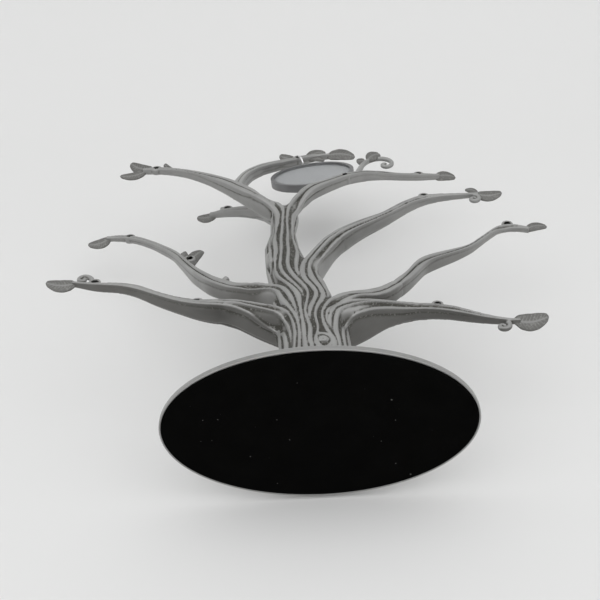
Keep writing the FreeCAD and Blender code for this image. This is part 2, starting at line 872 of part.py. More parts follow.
def frame_placement():
    """Where the small frame's own axes lie in the stand."""
    right, up, front = frame_axes()
    eye = ring_bottom() - up * size("tab_seat")
    middle = eye - up * (size("frame_radius") + size("tab_reach"))
    middle = middle + front * (size("frame_depth") / 2)
    return Placement(middle, Rotation(right, up, front, "ZXY"))


def hanger_ring():
    """The wire ring, with the slit that it is opened at."""
    ring = primitive("Part::Torus", "hanger_ring", {
        "Radius1": "Sizes.ring_radius",
        "Radius2": "Sizes.ring_wire_radius",
    })
    ring.Angle3 = RING_CLOSED_DEG
    down = ring_direction()
    middle = ring_top() + down * size("ring_radius")
    normal = down.cross(Y_AXIS).normalize()
    ring.Placement = Placement(middle, Rotation(-Y_AXIS, normal.cross(-Y_AXIS), normal, "ZXY"))
    return ring


def frame_rim():
    """The tray-shaped rim: wall, front lip and the eye that the ring holds."""
    body = new_body("frame_rim")
    radius = size("frame_radius")
    wall = radius - size("frame_wall")
    lip = wall - size("frame_lip")
    deep = -size("frame_depth")
    front = -size("frame_lip_thickness")
    outer = "Sizes.frame_radius"
    inner = "Sizes.frame_radius - Sizes.frame_wall"
    opening = "Sizes.frame_radius - Sizes.frame_wall - Sizes.frame_lip"
    profile = upright_sketch(body, "rim_profile")
    draw_profile(profile, [
        ((lip, opening), (0.0, None)),
        ((radius, outer), (0.0, None)),
        ((radius, outer), (deep, "-Sizes.frame_depth")),
        ((wall, inner), (deep, "-Sizes.frame_depth")),
        ((wall, inner), (front, "-Sizes.frame_lip_thickness")),
        ((lip, opening), (front, "-Sizes.frame_lip_thickness")),
    ])
    turned = body.newObject("PartDesign::Revolution", "rim_turned")
    turned.Profile = profile
    turned.ReferenceAxis = (profile, ["V_Axis"])
    turned.Angle = FULL_TURN_DEG
    doc.recompute()
    tab_floor = "-(Sizes.frame_depth + Sizes.tab_thickness) / 2"
    tab = level_sketch(body, "tab_outline", tab_floor)
    draw_tab(tab)
    pad(body, tab, "Sizes.tab_thickness", "tab_pad")
    hole = level_sketch(body, "tab_hole_outline", tab_floor)
    draw_circle(
        hole, size("tab_hole_radius"), "Sizes.tab_hole_radius",
        "Sizes.frame_radius + Sizes.tab_reach", radius + size("tab_reach"),
    )
    bore = body.newObject("PartDesign::Pocket", "tab_hole")
    bore.Profile = hole
    bore.Reversed = True
    bore.setExpression("Length", "Sizes.tab_thickness")
    doc.recompute()
    return body


def draw_tab(sketch):
    """The eye's outline: a round end on straight cheeks that run into the wall."""
    half = size("tab_radius")
    end = size("frame_radius") + size("tab_reach")
    root = size("frame_radius") - size("frame_wall") / 2
    sketch.addGeometry(Part.LineSegment(Vector(half, root, 0), Vector(half, end, 0)), False)
    top = Part.Arc(Vector(half, end, 0), Vector(0, end + half, 0), Vector(-half, end, 0))
    sketch.addGeometry(top, False)
    sketch.addGeometry(Part.LineSegment(Vector(-half, end, 0), Vector(-half, root, 0)), False)
    sketch.addGeometry(Part.LineSegment(Vector(-half, root, 0), Vector(half, root, 0)), False)
    sketch.addConstraint(Sketcher.Constraint("Tangent", 0, 2, 1, 1))
    sketch.addConstraint(Sketcher.Constraint("Tangent", 1, 2, 2, 1))
    sketch.addConstraint(Sketcher.Constraint("Coincident", 2, 2, 3, 1))
    sketch.addConstraint(Sketcher.Constraint("Coincident", 3, 2, 0, 1))
    sketch.addConstraint(Sketcher.Constraint("Horizontal", 3))
    sketch.addConstraint(Sketcher.Constraint("Vertical", 0))
    sketch.addConstraint(Sketcher.Constraint("PointOnObject", 1, 3, -2))
    bind(sketch, Sketcher.Constraint("Radius", 1, half), "Sizes.tab_radius")
    bind(
        sketch, Sketcher.Constraint("DistanceY", -1, 1, 1, 3, end),
        "Sizes.frame_radius + Sizes.tab_reach",
    )
    bind(
        sketch, Sketcher.Constraint("DistanceY", -1, 1, 0, 1, root),
        "Sizes.frame_radius - Sizes.frame_wall / 2",
    )


STACK = [
    ("frame_lens", "lens_thickness"),
    ("photo_card", "card_thickness"),
    ("frame_filler", "filler_thickness"),
    ("frame_back", "back_thickness"),
]


def stack_disc(label, thickness, depth):
    """One flat disc of the stack inside the rim."""
    body = new_body(label)
    outline = level_sketch(body, label + "_outline", "-(%s) - Sizes.%s" % (depth, thickness))
    reach = size("frame_radius") - size("frame_wall") - size("fit_clearance")
    draw_circle(outline, reach, "Sizes.frame_radius - Sizes.frame_wall - Sizes.fit_clearance")
    pad(body, outline, "Sizes." + thickness, label + "_pad")
    return body


def cut_notch(body, depth, thickness):
    """The thumb notch at the bottom edge of the back plate."""
    radius = size("notch_radius")
    low = size("frame_radius") - size("frame_wall")
    outline = level_sketch(body, "notch_outline", "-(%s) - Sizes.%s" % (depth, thickness))
    draw_circle(
        outline, radius, "Sizes.notch_radius",
        "-(Sizes.frame_radius - Sizes.frame_wall)", -low,
    )
    notch = body.newObject("PartDesign::Pocket", "thumb_notch")
    notch.Profile = outline
    notch.Reversed = True
    notch.setExpression("Length", "Sizes." + thickness)
    doc.recompute()


def frame_stack():
    """Lens, card, filler and back, each against the one before."""
    bodies = []
    depth = "Sizes.frame_lip_thickness"
    for label, thickness in STACK:
        body = stack_disc(label, thickness, depth)
        if label == "frame_back":
            cut_notch(body, depth, thickness)
        bodies.append(body)
        depth += " + Sizes." + thickness
    return bodies


def build():
    """Every node of the stand, by its label."""
    nodes = [base_plate(), base_felt(), base_screws()]
    nodes.append(add_shape("tree_trunk", tree_trunk()))
    for name in LIMBS:
        nodes.append(add_shape(name, limb_solid(name)))
    nodes.append(hanger_ring())
    framed = [frame_rim()] + frame_stack()
    for body in framed:
        body.Placement = frame_placement()
    return nodes + framed


def check_document():
    """Stop if any object failed."""
    for item in doc.Objects:
        if "Invalid" in item.State or "Error" in item.State:
            raise RuntimeError("failed: " + item.Label)


nodes = build()
doc.recompute()
check_document()
for node in nodes:
    if node.Shape.isNull() or not node.Shape.isValid():
        raise RuntimeError("not valid: " + node.Label)
for node in nodes:
    node.Shape.exportStep("parts/" + node.Label + ".step")
    print(node.Label, len(node.Shape.Solids), round(node.Shape.Volume))
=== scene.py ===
# %% [markdown]
# # A cast tree for hanging small photo frames
#
# The real object is a metal casting with an antique finish: a trunk whose bark
# is a bundle of rounded strands, nine limbs that carry the strands outwards,
# leaves, tendrils and small hanging holes. It stands on an oval plate with a
# black flocked pad, and one round frame hangs from its crown on a wire ring.
# It is seen lying on its back, from below its base.
#
# The construction is loaded first, as a fixed frame in metres. Every surface
# made below lies in that frame, so nothing has to be fitted afterwards.

# %% The fixed frame
import math
import bpy
import numpy as np
from mathutils import Matrix
from mathutils.bvhtree import BVHTree


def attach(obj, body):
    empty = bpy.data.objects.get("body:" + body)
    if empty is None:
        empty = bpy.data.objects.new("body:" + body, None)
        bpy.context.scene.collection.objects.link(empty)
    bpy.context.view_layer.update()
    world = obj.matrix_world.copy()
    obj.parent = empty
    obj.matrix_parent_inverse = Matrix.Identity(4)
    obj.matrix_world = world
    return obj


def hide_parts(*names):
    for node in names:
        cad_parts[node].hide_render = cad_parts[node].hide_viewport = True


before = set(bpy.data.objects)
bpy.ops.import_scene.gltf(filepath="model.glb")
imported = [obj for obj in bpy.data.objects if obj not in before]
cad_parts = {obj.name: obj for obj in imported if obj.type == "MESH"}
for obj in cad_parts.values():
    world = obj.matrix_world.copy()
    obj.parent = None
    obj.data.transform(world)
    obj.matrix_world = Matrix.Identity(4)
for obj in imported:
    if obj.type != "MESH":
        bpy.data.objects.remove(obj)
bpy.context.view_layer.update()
MM = 0.001

# %% [markdown]
# ## The view
#
# A camera is a place, a direction and a lens. These were worked out from the
# base, whose outline is an oval of known length: the camera is 0.7 m from the
# middle of the tree, well below the base, and leans a little to one side.

# %% Camera
VIEW_DISTANCE = 700 * MM
VIEW_RISE = math.radians(-52.0)
VIEW_ROLL = math.radians(1.985)
VIEW_TARGET = np.array([-6.734, 0.0, 99.055]) * MM
LENS = 96.65
SENSOR = 36.0
CLIP_START = 10 * MM


def unit(vectors):
    """Each vector divided by its own length."""
    return vectors / np.linalg.norm(vectors, axis=-1, keepdims=True)


def add_object(name, data):
    """An object in the scene that holds a mesh, a lamp or a camera."""
    made = bpy.data.objects.new(name, data)
    bpy.context.scene.collection.objects.link(made)
    return made


def new_object(name, points, faces):
    """An object with a mesh of these vertices and faces."""
    mesh = bpy.data.meshes.new(name)
    mesh.from_pydata(points.tolist(), [], faces)
    return add_object(name, mesh)


def set_axes(thing, right, up, back, at):
    """Put an object at a place, with these as its own axes."""
    matrix = np.eye(4)
    matrix[:3] = np.stack([right, up, back, at], axis=1)
    thing.matrix_world = Matrix(matrix.tolist())


def place_camera():
    """A slightly rolled camera that looks from below the base at the tree's middle."""
    eye = np.array([0.0, -math.cos(VIEW_RISE), math.sin(VIEW_RISE)]) * VIEW_DISTANCE
    back = unit(eye - VIEW_TARGET)
    level = unit(np.cross([0.0, 0.0, 1.0], back))
    rise = np.cross(back, level)
    cos, sin = math.cos(VIEW_ROLL), math.sin(VIEW_ROLL)
    data = bpy.data.cameras.new("view")
    data.lens = LENS
    data.sensor_width = SENSOR
    data.clip_start = CLIP_START
    camera = add_object("view", data)
    set_axes(camera, cos * level - sin * rise, sin * level + cos * rise, back, eye)
    bpy.context.scene.camera = camera
    return camera


camera = place_camera()
bpy.context.scene.view_settings.view_transform = "Standard"
print("camera at", tuple(round(v, 4) for v in camera.location))

# %% [markdown]
# ## Shader arithmetic
#
# A finish is a small calculation that is done at every point of a surface.
# Written as nodes it is hard to read, so a value that comes out of a node is
# wrapped in a class that knows plus and times: each operator adds one Math
# node. All other nodes come from one method of the finish.


# %% Values and finishes
class Value:
    """A number that varies over a surface; arithmetic on it adds Math nodes."""

    def __init__(self, finish, socket):
        self.finish = finish
        self.socket = socket

    def __add__(self, other):
        return self.finish.node("Math", {0: self, 1: other}, operation="ADD")

    def __mul__(self, other):
        return self.finish.node("Math", {0: self, 1: other}, operation="MULTIPLY")

    __radd__ = __add__
    __rmul__ = __mul__

    def step(self, low, high):
        """0 below low, 1 above high, and a smooth rise between them."""
        inputs = {"Value": self, "From Min": low, "From Max": high}
        return self.finish.node("MapRange", inputs, interpolation_type="SMOOTHSTEP")


class Finish:
    """A material on the principled shader, and one method that adds any node."""

    def __init__(self, name):
        self.material = bpy.data.materials.new(name)
        self.material.use_nodes = True
        self.tree = self.material.node_tree
        self.tree.nodes.clear()
        self.end = self.tree.nodes.new("ShaderNodeOutputMaterial")

    def node(self, kind, inputs=None, output=0, **settings):
        """A shader node of a kind, its settings, and its sockets' values or links."""
        made = self.tree.nodes.new("ShaderNode" + kind)
        for key, value in settings.items():
            setattr(made, key, value)
        for key, value in (inputs or {}).items():
            if isinstance(value, Value):
                self.tree.links.new(value.socket, made.inputs[key])
            else:
                made.inputs[key].default_value = value
        return Value(self, made.outputs[output])

    def noise(self, size, detail=2.0, roughness=0.5):
        """Soft random lumps about as large as size, fixed to places in the frame."""
        inputs = {"Vector": self.node("TexCoord", output="Object"), "Scale": 1 / size,
                  "Detail": detail, "Roughness": roughness}
        return self.node("TexNoise", inputs, "Fac")

    def stored(self, name):
        """A number that is kept with each vertex of the mesh."""
        return self.node("Attribute", output="Fac", attribute_name=name)

    def blend(self, factor, first, second):
        """A colour between two colours."""
        return self.node("Mix", {0: factor, 6: first, 7: second}, 2, data_type="RGBA")

    def bump(self, height, depth):
        """A normal that leans as if the surface rose by height times depth."""
        inputs = {"Height": height, "Distance": depth, "Strength": 1.0}
        return self.node("Bump", inputs)

    def surface(self, inputs):
        """The principled shader, joined to the material's output."""
        shader = self.node("BsdfPrincipled", inputs)
        self.tree.links.new(shader.socket, self.end.inputs["Surface"])
        return self.material


# %% [markdown]
# ## Floor and light
#
# The tree lies on its back on a white sweep. In its own frame that floor is a
# nearly upright sheet, which starts just clear of the base plate and leans away
# towards the crown, so that the small frame has room to tip. Its back face is
# clear, so the tree can be looked at from behind too. The light is one large
# soft panel over the tree, a weak one from below and a pale surround.

# %% Sweep
FLOOR_BEHIND = 41.6 * MM
FLOOR_LEAN = 0.02  # away from the tree for each metre up
FLOOR_HALF_WIDTH = 1.6
FLOOR_BOTTOM = -0.9
FLOOR_TOP = 0.36
BEND_RADIUS = 0.30
WALL_START = 0.05
WALL_HEIGHT = 1.2
FLOOR_STEPS, BEND_STEPS, WALL_STEPS = 30, 24, 8
WHITE_SWEEP = (0.80, 0.80, 0.795, 1.0)


def sweep_profile():
    """Along the floor, then a quarter turn of the bend, then up the wall: (y, z) pairs."""
    along = np.linspace(FLOOR_BOTTOM, FLOOR_TOP, FLOOR_STEPS)
    floor = np.c_[FLOOR_BEHIND + FLOOR_LEAN * along, along]
    turn = np.linspace(0, math.pi / 2, BEND_STEPS)[1:]
    bend = floor[-1] + BEND_RADIUS * np.c_[np.cos(turn) - 1, np.sin(turn)]
    out = np.linspace(WALL_START, WALL_HEIGHT, WALL_STEPS)
    wall = bend[-1] + np.c_[-out, 0 * out]
    return np.concatenate([floor, bend, wall])


def sweep_material():
    """White, keeping its shadows, and clear from behind."""
    finish = Finish("white_sweep")
    white = finish.node("BsdfDiffuse", {"Color": WHITE_SWEEP})
    clear = finish.node("BsdfTransparent")
    behind = finish.node("NewGeometry", output="Backfacing")
    mixed = finish.node("MixShader", {0: behind, 1: white, 2: clear})
    finish.tree.links.new(mixed.socket, finish.end.inputs["Surface"])
    return finish.material


def add_sweep():
    """The profile drawn out sideways into one sheet of the stage."""
    profile = sweep_profile()
    across = np.array([-FLOOR_HALF_WIDTH, FLOOR_HALF_WIDTH])
    x, row = np.meshgrid(across, np.arange(len(profile)))
    points = np.c_[x.ravel(), profile[row.ravel()]]
    first = np.arange(len(profile) - 1) * 2
    quads = np.c_[first, first + 1, first + 3, first + 2]
    floor = new_object("sweep", points, quads.tolist())
    floor.data.materials.append(sweep_material())
    floor.data.shade_smooth()


add_sweep()

# %% Lamps and surround
LIT_PLACE = (0.0, 0.0, 0.14)  # what both lamps face
PANEL_PLACE = (-0.25, -1.40, 0.18)
PANEL_SIZE = 4.0
PANEL_POWER = 34.0
FILL_PLACE = (0.9, -0.7, -0.5)
FILL_SIZE = 1.2
FILL_POWER = 1.6
PANEL_GUIDE = (1.0, 0.03, 0.02)  # nearly level, and along neither lamp's axis
SURROUND = (0.56, 0.563, 0.566, 1.0)


def add_panel(name, at, size, power):
    """A square soft light at a place, facing the tree."""
    data = bpy.data.lights.new(name, "AREA")
    data.size = size
    data.energy = power
    back = unit(np.array(at) - np.array(LIT_PLACE))
    side = unit(np.cross(PANEL_GUIDE, back))
    set_axes(add_object(name, data), np.cross(side, back), side, back, at)


add_panel("over", PANEL_PLACE, PANEL_SIZE, PANEL_POWER)
add_panel("fill", FILL_PLACE, FILL_SIZE, FILL_POWER)
world = bpy.data.worlds.new("surround")
world.use_nodes = True
world.node_tree.nodes["Background"].inputs["Color"].default_value = SURROUND
bpy.context.scene.world = world
print("lamps", len(bpy.data.lights))

# %% [markdown]
# ## Surfaces from arrays
#
# Nearly every form of the tree is a tube: a round or oval profile carried
# along a path. The whole tube is worked out at once as an array of rings, and
# its ends are closed by one vertex each. Tubes that make up one casting are
# gathered first and then melted together.


# %% Tubes
FINE_STEPS = 4  # finer steps to each step of a smoothed path
MEAN_PASSES = 3
FRONT_TO_BACK = (0.0, 1.0, 0.0)


def distances(path):
    """How far along a path each of its points lies."""
    return np.r_[0.0, np.cumsum(np.linalg.norm(np.diff(path, axis=0), axis=1))]


def full_turn(count):
    """Evenly spaced angles round a circle."""
    return 2 * np.pi * np.arange(count) / count


def signed_power(value, power):
    """A power of the size of each value, with its sign."""
    return np.sign(value) * np.abs(value) ** power


def bend_through(points, spacing, softness):
    """Evenly spaced points on a path through the given ones, its corners rounded.

    The path is cut into fine steps, and each point is then replaced by the mean
    of its neighbours within softness, a few times over.
    """
    away = distances(points)
    step = spacing / FINE_STEPS
    fine = np.append(np.arange(0.0, away[-1], step), away[-1])
    path = np.stack([np.interp(fine, away, column) for column in points.T], axis=1)
    reach = max(int(softness / step / 2), 1)
    window = np.ones(2 * reach + 1) / (2 * reach + 1)
    for _ in range(MEAN_PASSES):
        before = 2 * path[0] - path[reach:0:-1]
        after = 2 * path[-1] - path[-2:-reach - 2:-1]
        padded = np.concatenate([before, path, after])
        path = np.stack([np.convolve(column, window, "valid") for column in padded.T], axis=1)
    keep = np.linspace(0, len(path) - 1, max(int(away[-1] / spacing), 4)).astype(int)
    return path[keep]


def tube(path, half_across, half_out, sides=12, squareness=2.0, facing=FRONT_TO_BACK):
    """A closed tube of oval rings round a path.

    Each ring lies square to the path, with its out axis as near to facing as it
    can be. Squareness is the power of the superellipse: above 2, a rounded box.
    """
    along = unit(np.gradient(path, axis=0))
    across = unit(np.cross(along, facing))
    out = np.cross(across, along)
    turn = full_turn(sides)
    rings = path[:, None]
    for axis, half, wave in ((across, half_across, np.cos), (out, half_out, np.sin)):
        shape = signed_power(wave(turn), 2.0 / squareness)
        half = np.broadcast_to(half, len(path))
        rings = rings + axis[:, None] * (half[:, None] * shape)[..., None]
    return close_rings(rings)


def close_rings(rings):
    """Vertices and faces of a grid of rings, closed by a vertex at each end's middle."""
    count, sides = rings.shape[:2]
    ends = np.stack([rings[0].mean(0), rings[-1].mean(0)])
    points = np.concatenate([rings.reshape(-1, 3), ends])
    ring, side = np.meshgrid(np.arange(count - 1), np.arange(sides), indexing="ij")
    a = (ring * sides + side).ravel()
    b = (ring * sides + (side + 1) % sides).ravel()
    quads = np.c_[a, b, b + sides, a + sides]
    side = np.arange(sides)
    after = (side + 1) % sides
    first = np.full(sides, count * sides)
    last = (count - 1) * sides
    fans = np.concatenate([np.c_[first, after, side], np.c_[first + 1, last + side, last + after]])
    return points, quads.tolist() + fans.tolist()


def gather(parts):
    """One list of vertices and one of faces from several closed surfaces."""
    points = []
    faces = []
    start = 0
    for part_points, part_faces in parts:
        points.append(part_points)
        faces += [[corner + start for corner in face] for face in part_faces]
        start += len(part_points)
    return np.concatenate(points), faces


def add_piece(name, surface, material, body, nodes):
    """A smooth object that rides on a body and stands for the CAD nodes named."""
    piece = new_object(name, *surface)
    piece.data.materials.append(material)
    piece.data.shade_smooth()
    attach(piece, body)
    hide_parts(*nodes)
    print(name, len(piece.data.vertices), "vertices")
    return piece


# %% [markdown]
# ## The tree's plan
#
# The trunk and each limb follow a short list of places, written as thousandths
# of the tree's reach, depth and height, with the half width at each place as
# thousandths of a girth. The same plan sets out the castings of the
# construction, so the dressed tree and the plain one agree.

# %% Trunk and limb routes
REACH = 128 * MM
DEPTH = 25 * MM
HEIGHT = 280 * MM
SPAN = np.array([REACH, DEPTH, HEIGHT])
TRUNK_GIRTH = 16 * MM
LIMB_GIRTH = 5 * MM
LEAF_GIRTH = 4 * MM
BASE_TOP = 4.2 * MM
TRUNK_FLATNESS = 0.86


def lengths(rows, *girths):
    """Thousandths of the tree's three spans, then of the girths given, as lengths."""
    return np.array(rows) / 1000 * [*SPAN, *girths]


def by_limb(table, *girths):
    """The same for a table whose rows are given for each limb."""
    return {limb: lengths(rows, *girths) for limb, rows in table.items()}


TRUNK = lengths([
    (0, 0, 10, 1820), (0, 0, 20, 1660), (0, 0, 34, 1420), (0, 0, 66, 1170), (0, 0, 125, 1020),
    (-4, 0, 195, 1020), (-12, 0, 261, 1000), (-35, 0, 322, 910), (-59, 0, 386, 810),
    (-95, 0, 452, 660), (-117, -40, 515, 530), (-112, -40, 567, 410), (-104, -80, 615, 460),
    (-98, -100, 645, 400),
], TRUNK_GIRTH)
LIMBS = by_limb({
    "lower_left_limb": [
        (-40, 0, 250, 1400), (-180, -80, 279, 1440), (-300, -200, 296, 1140),
        (-422, -320, 291, 880), (-503, -400, 299, 680), (-589, -480, 313, 620),
        (-662, -520, 336, 520), (-729, -560, 342, 430), (-810, -560, 346, 420),
        (-860, -560, 354, 320), (-905, -560, 361, 250),
    ],
    "middle_left_limb": [
        (-91, 0, 324, 1350), (-198, 80, 377, 1050), (-300, 180, 402, 840), (-396, 320, 449, 840),
        (-465, 440, 502, 720), (-512, 560, 555, 560), (-564, 680, 613, 470),
        (-656, 800, 670, 370), (-734, 880, 707, 370), (-825, 960, 732, 310),
        (-875, 1000, 735, 240),
    ],
    "short_left_limb": [
        (-98, -20, 605, 800), (-148, 160, 657, 700), (-199, 290, 702, 620), (-274, 440, 733, 460),
        (-349, 600, 757, 380), (-407, 760, 775, 300), (-430, 820, 781, 240),
    ],
    "upper_left_limb": [
        (-105, -80, 628, 1050), (-195, -160, 655, 1000), (-265, -200, 690, 880),
        (-338, -200, 727, 740), (-416, -160, 765, 540), (-505, -120, 799, 400),
        (-591, -40, 828, 340), (-660, 0, 841, 340), (-715, 40, 846, 280),
    ],
    "crown_limb": [
        (-300, -180, 712, 700), (-290, -100, 748, 620), (-275, 40, 794, 560),
        (-252, 200, 839, 520), (-201, 360, 885, 470), (-123, 520, 926, 420), (-78, 600, 941, 420),
        (-33, 640, 961, 400), (36, 680, 976, 320), (104, 680, 980, 260),
    ],
    "upper_right_limb": [
        (-98, -80, 615, 960), (-60, -120, 655, 920), (2, -180, 692, 760), (77, -180, 715, 600),
        (155, -100, 752, 560), (235, 80, 791, 520), (316, 280, 822, 400), (401, 480, 844, 350),
        (493, 660, 869, 360), (580, 780, 885, 280),
    ],
    "high_right_limb": [
        (-50, 40, 375, 1300), (12, -60, 448, 1420), (72, -160, 490, 1200), (134, -240, 514, 1000),
        (217, -280, 543, 780), (299, -320, 562, 660), (377, -320, 598, 600),
        (450, -320, 624, 500), (521, -320, 632, 380), (610, -320, 635, 280),
        (690, -320, 636, 240),
    ],
    "middle_right_limb": [
        (45, 0, 285, 1250), (133, 0, 304, 1220), (229, 40, 339, 1040), (298, 80, 366, 840),
        (365, 120, 408, 740), (428, 160, 460, 760), (492, 200, 483, 680), (568, 240, 506, 560),
        (633, 280, 530, 420), (704, 320, 572, 360), (776, 360, 612, 360), (837, 360, 612, 340),
        (890, 360, 600, 280),
    ],
    "lower_right_limb": [
        (60, 0, 250, 1500), (180, 40, 284, 1620), (263, 80, 304, 1300), (345, 120, 314, 860),
        (432, 120, 314, 660), (506, 120, 308, 640), (577, 120, 293, 540), (648, 120, 281, 400),
        (705, 120, 274, 310), (760, 120, 272, 240),
    ],
}, LIMB_GIRTH)
# The row of each limb at which its stub ends.
STUB_STATIONS = dict(zip(LIMBS, (3, 2, 3, 2, 2, 2, 3, 4, 4)))


def trunk_at(height):
    """The trunk's centre and half width at each height, by straight lines between rows."""
    x, y, level, half = TRUNK.T
    return [np.interp(height, level, column) for column in (x, y, half)]


print("limbs", len(LIMBS))

# %% Leaves, tendrils, stumps and holes
LEAVES = by_limb({
    "lower_left_limb": [(-890, -560, 360, -1004, -600, 362, 850)],
    "middle_left_limb": [
        (-858, 1000, 737, -953, 1040, 722, 750), (-500, 560, 560, -526, 520, 606, 800),
        (-495, 560, 562, -446, 520, 606, 740),
    ],
    "short_left_limb": [(-400, 800, 779, -490, 920, 789, 720)],
    "upper_left_limb": [
        (-672, 20, 848, -775, 40, 882, 850), (-700, 40, 846, -815, 80, 838, 620),
        (-560, -40, 822, -622, -40, 862, 500),
    ],
    "crown_limb": [
        (-58, 620, 962, -124, 580, 976, 720), (-5, 680, 970, 84, 680, 998, 720),
        (0, 680, 968, 78, 680, 962, 420), (90, 680, 980, 216, 680, 970, 950),
    ],
    "upper_right_limb": [
        (560, 780, 884, 654, 840, 890, 800), (262, 100, 858, 318, 80, 880, 800),
        (250, 100, 856, 214, 80, 856, 550),
    ],
    "high_right_limb": [
        (690, -320, 640, 640, -340, 655, 380), (680, -320, 636, 786, -340, 636, 800),
    ],
    "middle_right_limb": [(876, 360, 602, 968, 380, 614, 620)],
    "lower_right_limb": [(735, 120, 274, 866, 100, 280, 1050)],
}, *SPAN, 1)
CURLS = by_limb({
    "lower_left_limb": (-845, -560, 352, -868, -560, 372),
    "upper_right_limb": (245, 120, 850, 335, 140, 843),
    "high_right_limb": (640, -320, 636, 667, -320, 621),
    "lower_right_limb": (660, 120, 279, 690, 120, 259),
}, *SPAN)
NUBS = by_limb({
    "middle_left_limb": (-375, 260, 440, -335, 200, 462, 400),
    "short_left_limb": (-372, 640, 764, -376, 640, 780, 300),
    "high_right_limb": (120, -220, 510, 126, -200, 548, 420),
}, *SPAN, LIMB_GIRTH)
KNUCKLE = lengths((-138, -120, 446, -150, -120, 484, 1050), *SPAN, LIMB_GIRTH)
TWIGS = by_limb({
    "upper_right_limb": [
        (205, 20, 778, 420), (217, 50, 806, 340), (238, 80, 838, 290), (266, 100, 860, 240),
    ],
}, LIMB_GIRTH)
HOLES = by_limb({
    "lower_left_limb": [(-431, -320, 304), (-818, -560, 356)],
    "middle_left_limb": [(-497, 560, 577), (-770, 920, 722)],
    "short_left_limb": [(-351, 600, 766)],
    "upper_left_limb": [(-654, 0, 843)],
    "crown_limb": [(-42, 620, 960)],
    "upper_right_limb": [(155, -100, 756), (486, 650, 874)],
    "high_right_limb": [(467, -320, 633)],
    "middle_right_limb": [(807, 360, 621)],
    "lower_right_limb": [(462, 120, 324)],
})
HOLE_RADIUS = 1.5 * MM
EYE_RADIUS = 3.0 * MM
EYE_DEPTH = 3.0 * MM
EYE_SHARE = 0.80
CURL_TURNS = 1.35
CURL_TIP = 0.34 * 3.2 * MM
print("leaves", sum(map(len, LEAVES.values())), "holes", sum(map(len, HOLES.values())))

# %% [markdown]
# ## Bark strands
#
# The bark is carved as rounded strands that run up the trunk side by side, and
# each limb takes a few of them with it, so they are modelled as tubes. At any
# height the strands that have not left yet share the trunk's front, some wider
# and some narrower. A smooth core fills the middle, and the gaps between
# strands become the dark grooves.

# %% Order of the strands from left to right
BASE = -20 * MM  # below the base: the strand starts at the foot
STRANDS = {  # how far across the limb, and the height where it starts
    "lower_left_limb": [(0.48, BASE), (0.0, 58 * MM), (-0.62, 40 * MM)],
    "middle_left_limb": [(0.55, BASE), (-0.55, 66 * MM)],
    "short_left_limb": [(0.0, 122 * MM)],
    "upper_left_limb": [(0.55, BASE), (-0.55, 92 * MM)],
    "upper_right_limb": [(0.55, BASE), (-0.55, 108 * MM)],
    "high_right_limb": [(0.66, 68 * MM), (0.0, BASE), (-0.66, 84 * MM)],
    "middle_right_limb": [(0.55, BASE), (-0.55, 64 * MM)],
    "lower_right_limb": [(0.66, 60 * MM), (0.10, BASE), (-0.66, BASE)],
}
FRONT_STRANDS = [(limb, *row) for limb, rows in STRANDS.items() for row in rows]
SIDE_STRANDS = (-0.12, 0.16, 0.44)  # places across the trunk's left and right sides
SIDE_TOP = 190 * MM
SIDE_WANDER = 0.10
SIDE_GIRTH = 0.20
SIDE_FULLNESS = 0.7
SIDE_SEEDS = (30, 7)  # the first seed, and the step to the next strand's
CORE_RELIEF = 1.2 * MM
STRAND_RISE = 1.7 * MM
STRAND_SHARE = 0.56  # of the space between two strands' middles
STRAND_WANDER = 0.32  # by which that share wanders
TRUNK_FRONT = 0.93  # of the trunk's width that the strands share
SQUARENESS = 2.6
LIMB_ACROSS = 0.74
LIMB_OUT = 1.02
DEEP_ROOTS = ("lower_left_limb", "middle_left_limb", "high_right_limb", "middle_right_limb",
              "lower_right_limb")
ROOT_FADE = (8 * MM, 30 * MM)
STEP = 1.2 * MM
ROUTE_STEP = MM
LIMB_SOFTNESS = 5 * MM  # how far the corners of a limb's route are rounded
TRUNK_SOFTNESS = 8 * MM
STRAND_SOFTNESS = 9 * MM
JOIN_STEPS = 8
JOIN_LENGTH = 9 * MM
JOIN_SHARE = 0.80
LIMB_STRAND = 1.4
FEWEST_STRANDS = 2  # that a limb's width is shared between
LEAVE_LENGTH = 15 * MM
LEAVE_EARLY = 6 * MM
LOWER_EDGE = -0.2  # how far across a limb its underside starts
WANDER_LENGTH = 17 * MM
WANDER_MARKS = 40
MARKS_BELOW = 3  # of them below the floor
WEIGHT_WANDER = 0.50
WEIGHT_SEED = 5
LEAST_WEIGHT = 1e-3
KNOT = np.array([3.3, 45.5]) * MM
KNOT_SIZE = np.array([4.2, 6.0]) * MM
KNOT_REACH = 2  # half widths of the knot, within which strands give way
NOTHING_THERE = -1.0
CAST_FROM = 100 * MM
DEPTH_MEAN = 3  # points on each side that a strand's depth is evened with


def smooth_step(value, low, high):
    """0 below low, 1 above high, and a smooth rise between them."""
    share = np.clip((value - low) / (high - low), 0.0, 1.0)
    return share * share * (3 - 2 * share)


def wander(height, seed, count):
    """Smooth random numbers from -1 to 1 along the height, a column for each strand."""
    marks = np.random.default_rng(seed).uniform(-1, 1, (WANDER_MARKS, count))
    level = height / WANDER_LENGTH + MARKS_BELOW
    low = np.floor(level).astype(int)
    share = smooth_step(level - low, 0.0, 1.0)[:, None]
    return marks[low] * (1 - share) + marks[low + 1] * share


print("strands", len(FRONT_STRANDS), "and", len(SIDE_STRANDS), "on each side")


# %% Strands up the trunk
def across_rise(limb):
    """How steeply the across axis of a limb's root rises."""
    root = LIMBS[limb][1:3, :3]
    return np.cross(unit(root[1] - root[0]), FRONT_TO_BACK)[2]


def leave_height(limb, lateral):
    """How high a strand climbs the trunk before it turns out along its limb."""
    _, _, up, half = LIMBS[limb][1]
    return up + lateral * half * across_rise(limb) - LEAVE_EARLY


